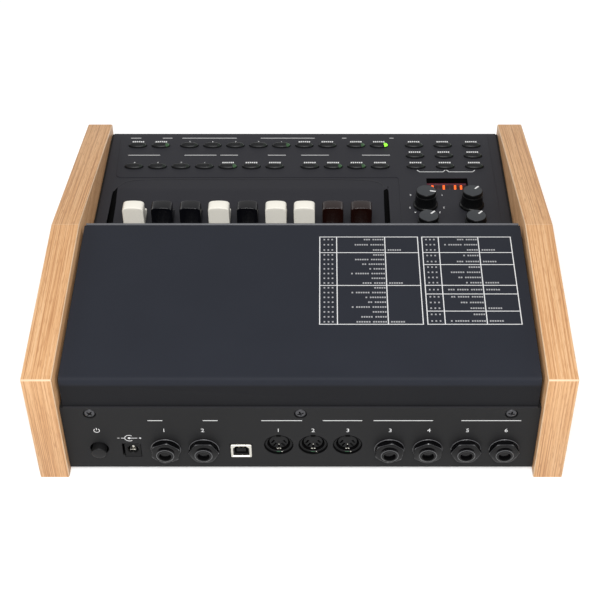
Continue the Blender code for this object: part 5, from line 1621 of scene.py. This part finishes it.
def set_world(strength, shown):
    """Even pale light from all round, and plain white where the camera sees past the floor."""
    world = bpy.data.worlds.new("studio")
    bpy.context.scene.world = world
    world.use_nodes = True
    tree = world.node_tree
    background = tree.nodes["Background"]
    background.inputs["Color"].default_value = (1, 1, 1, 1)
    background.inputs["Strength"].default_value = strength
    seen = tree.nodes.new("ShaderNodeBackground")
    seen.inputs["Strength"].default_value = shown
    path = tree.nodes.new("ShaderNodeLightPath")
    either = tree.nodes.new("ShaderNodeMixShader")
    clear = tree.nodes.new("ShaderNodeMath")
    clear.operation = "MAXIMUM"
    shown_to = tree.nodes.new("ShaderNodeMath")
    shown_to.operation = "MAXIMUM"
    for start, end in (
        (path.outputs["Is Glossy Ray"], clear.inputs[0]),
        (path.outputs["Is Transmission Ray"], clear.inputs[1]),
        (path.outputs["Is Camera Ray"], shown_to.inputs[0]),
        (clear.outputs[0], shown_to.inputs[1]),
        (shown_to.outputs[0], either.inputs[0]),
        (background.outputs[0], either.inputs[1]),
        (seen.outputs[0], either.inputs[2]),
        (either.outputs[0], tree.nodes["World Output"].inputs["Surface"]),
    ):
        tree.links.new(start, end)


def area_lamp(name, place, target, width, height, power):
    """A rectangle of light, in metres and watts, turned so that its -z looks at the target."""
    lamp = bpy.data.lights.new(name, "AREA")
    lamp.shape = "RECTANGLE"
    lamp.size, lamp.size_y, lamp.energy = width, height, power
    made = bpy.data.objects.new(name, lamp)
    made.location = place
    made.rotation_euler = (Vector(target) - Vector(place)).to_track_quat("-Z", "Y").to_euler()
    bpy.context.scene.collection.objects.link(made)


make_floor()
set_world(0.32, 1.0)
area_lamp("key", (0.0, 1.05, 1.40), (0, 0, 0.04), 0.9, 0.7, 31)
area_lamp("fill_left", (1.3, -1.0, 0.55), (0, 0, 0.05), 0.6, 0.6, 4)
area_lamp("fill_right", (-1.3, -1.0, 0.55), (0, 0, 0.05), 0.6, 0.6, 4)
print("lamps:", len(bpy.data.lights))

# %% [markdown]
# ### Camera
# The camera stands behind the module and looks down at forty-four degrees. Its lens, in
# pixels of the square picture, and its tilt come from where the case's edges would meet. Its
# axis lies a little to the side of the picture's middle, which the lens shift gives.

# %% Camera
PICTURE, SENSOR = 600, 36
FOCAL_PIXELS, AXIS_PIXEL = 1448.7, 322.7
PITCH = math.radians(44.407)
camera_data = bpy.data.cameras.new("camera")
camera_data.sensor_width = SENSOR
camera_data.lens = FOCAL_PIXELS / PICTURE * SENSOR
camera_data.shift_x = (PICTURE / 2 - AXIS_PIXEL) / PICTURE
camera = bpy.data.objects.new("camera", camera_data)
camera.location = (-0.01254, 0.67405, 0.66765)
camera.rotation_euler = (math.pi / 2 - PITCH, 0, math.pi)
bpy.context.scene.collection.objects.link(camera)
bpy.context.scene.camera = camera
bpy.context.scene.view_settings.view_transform = "Standard"
print("camera at", tuple(round(c, 3) for c in camera.location))
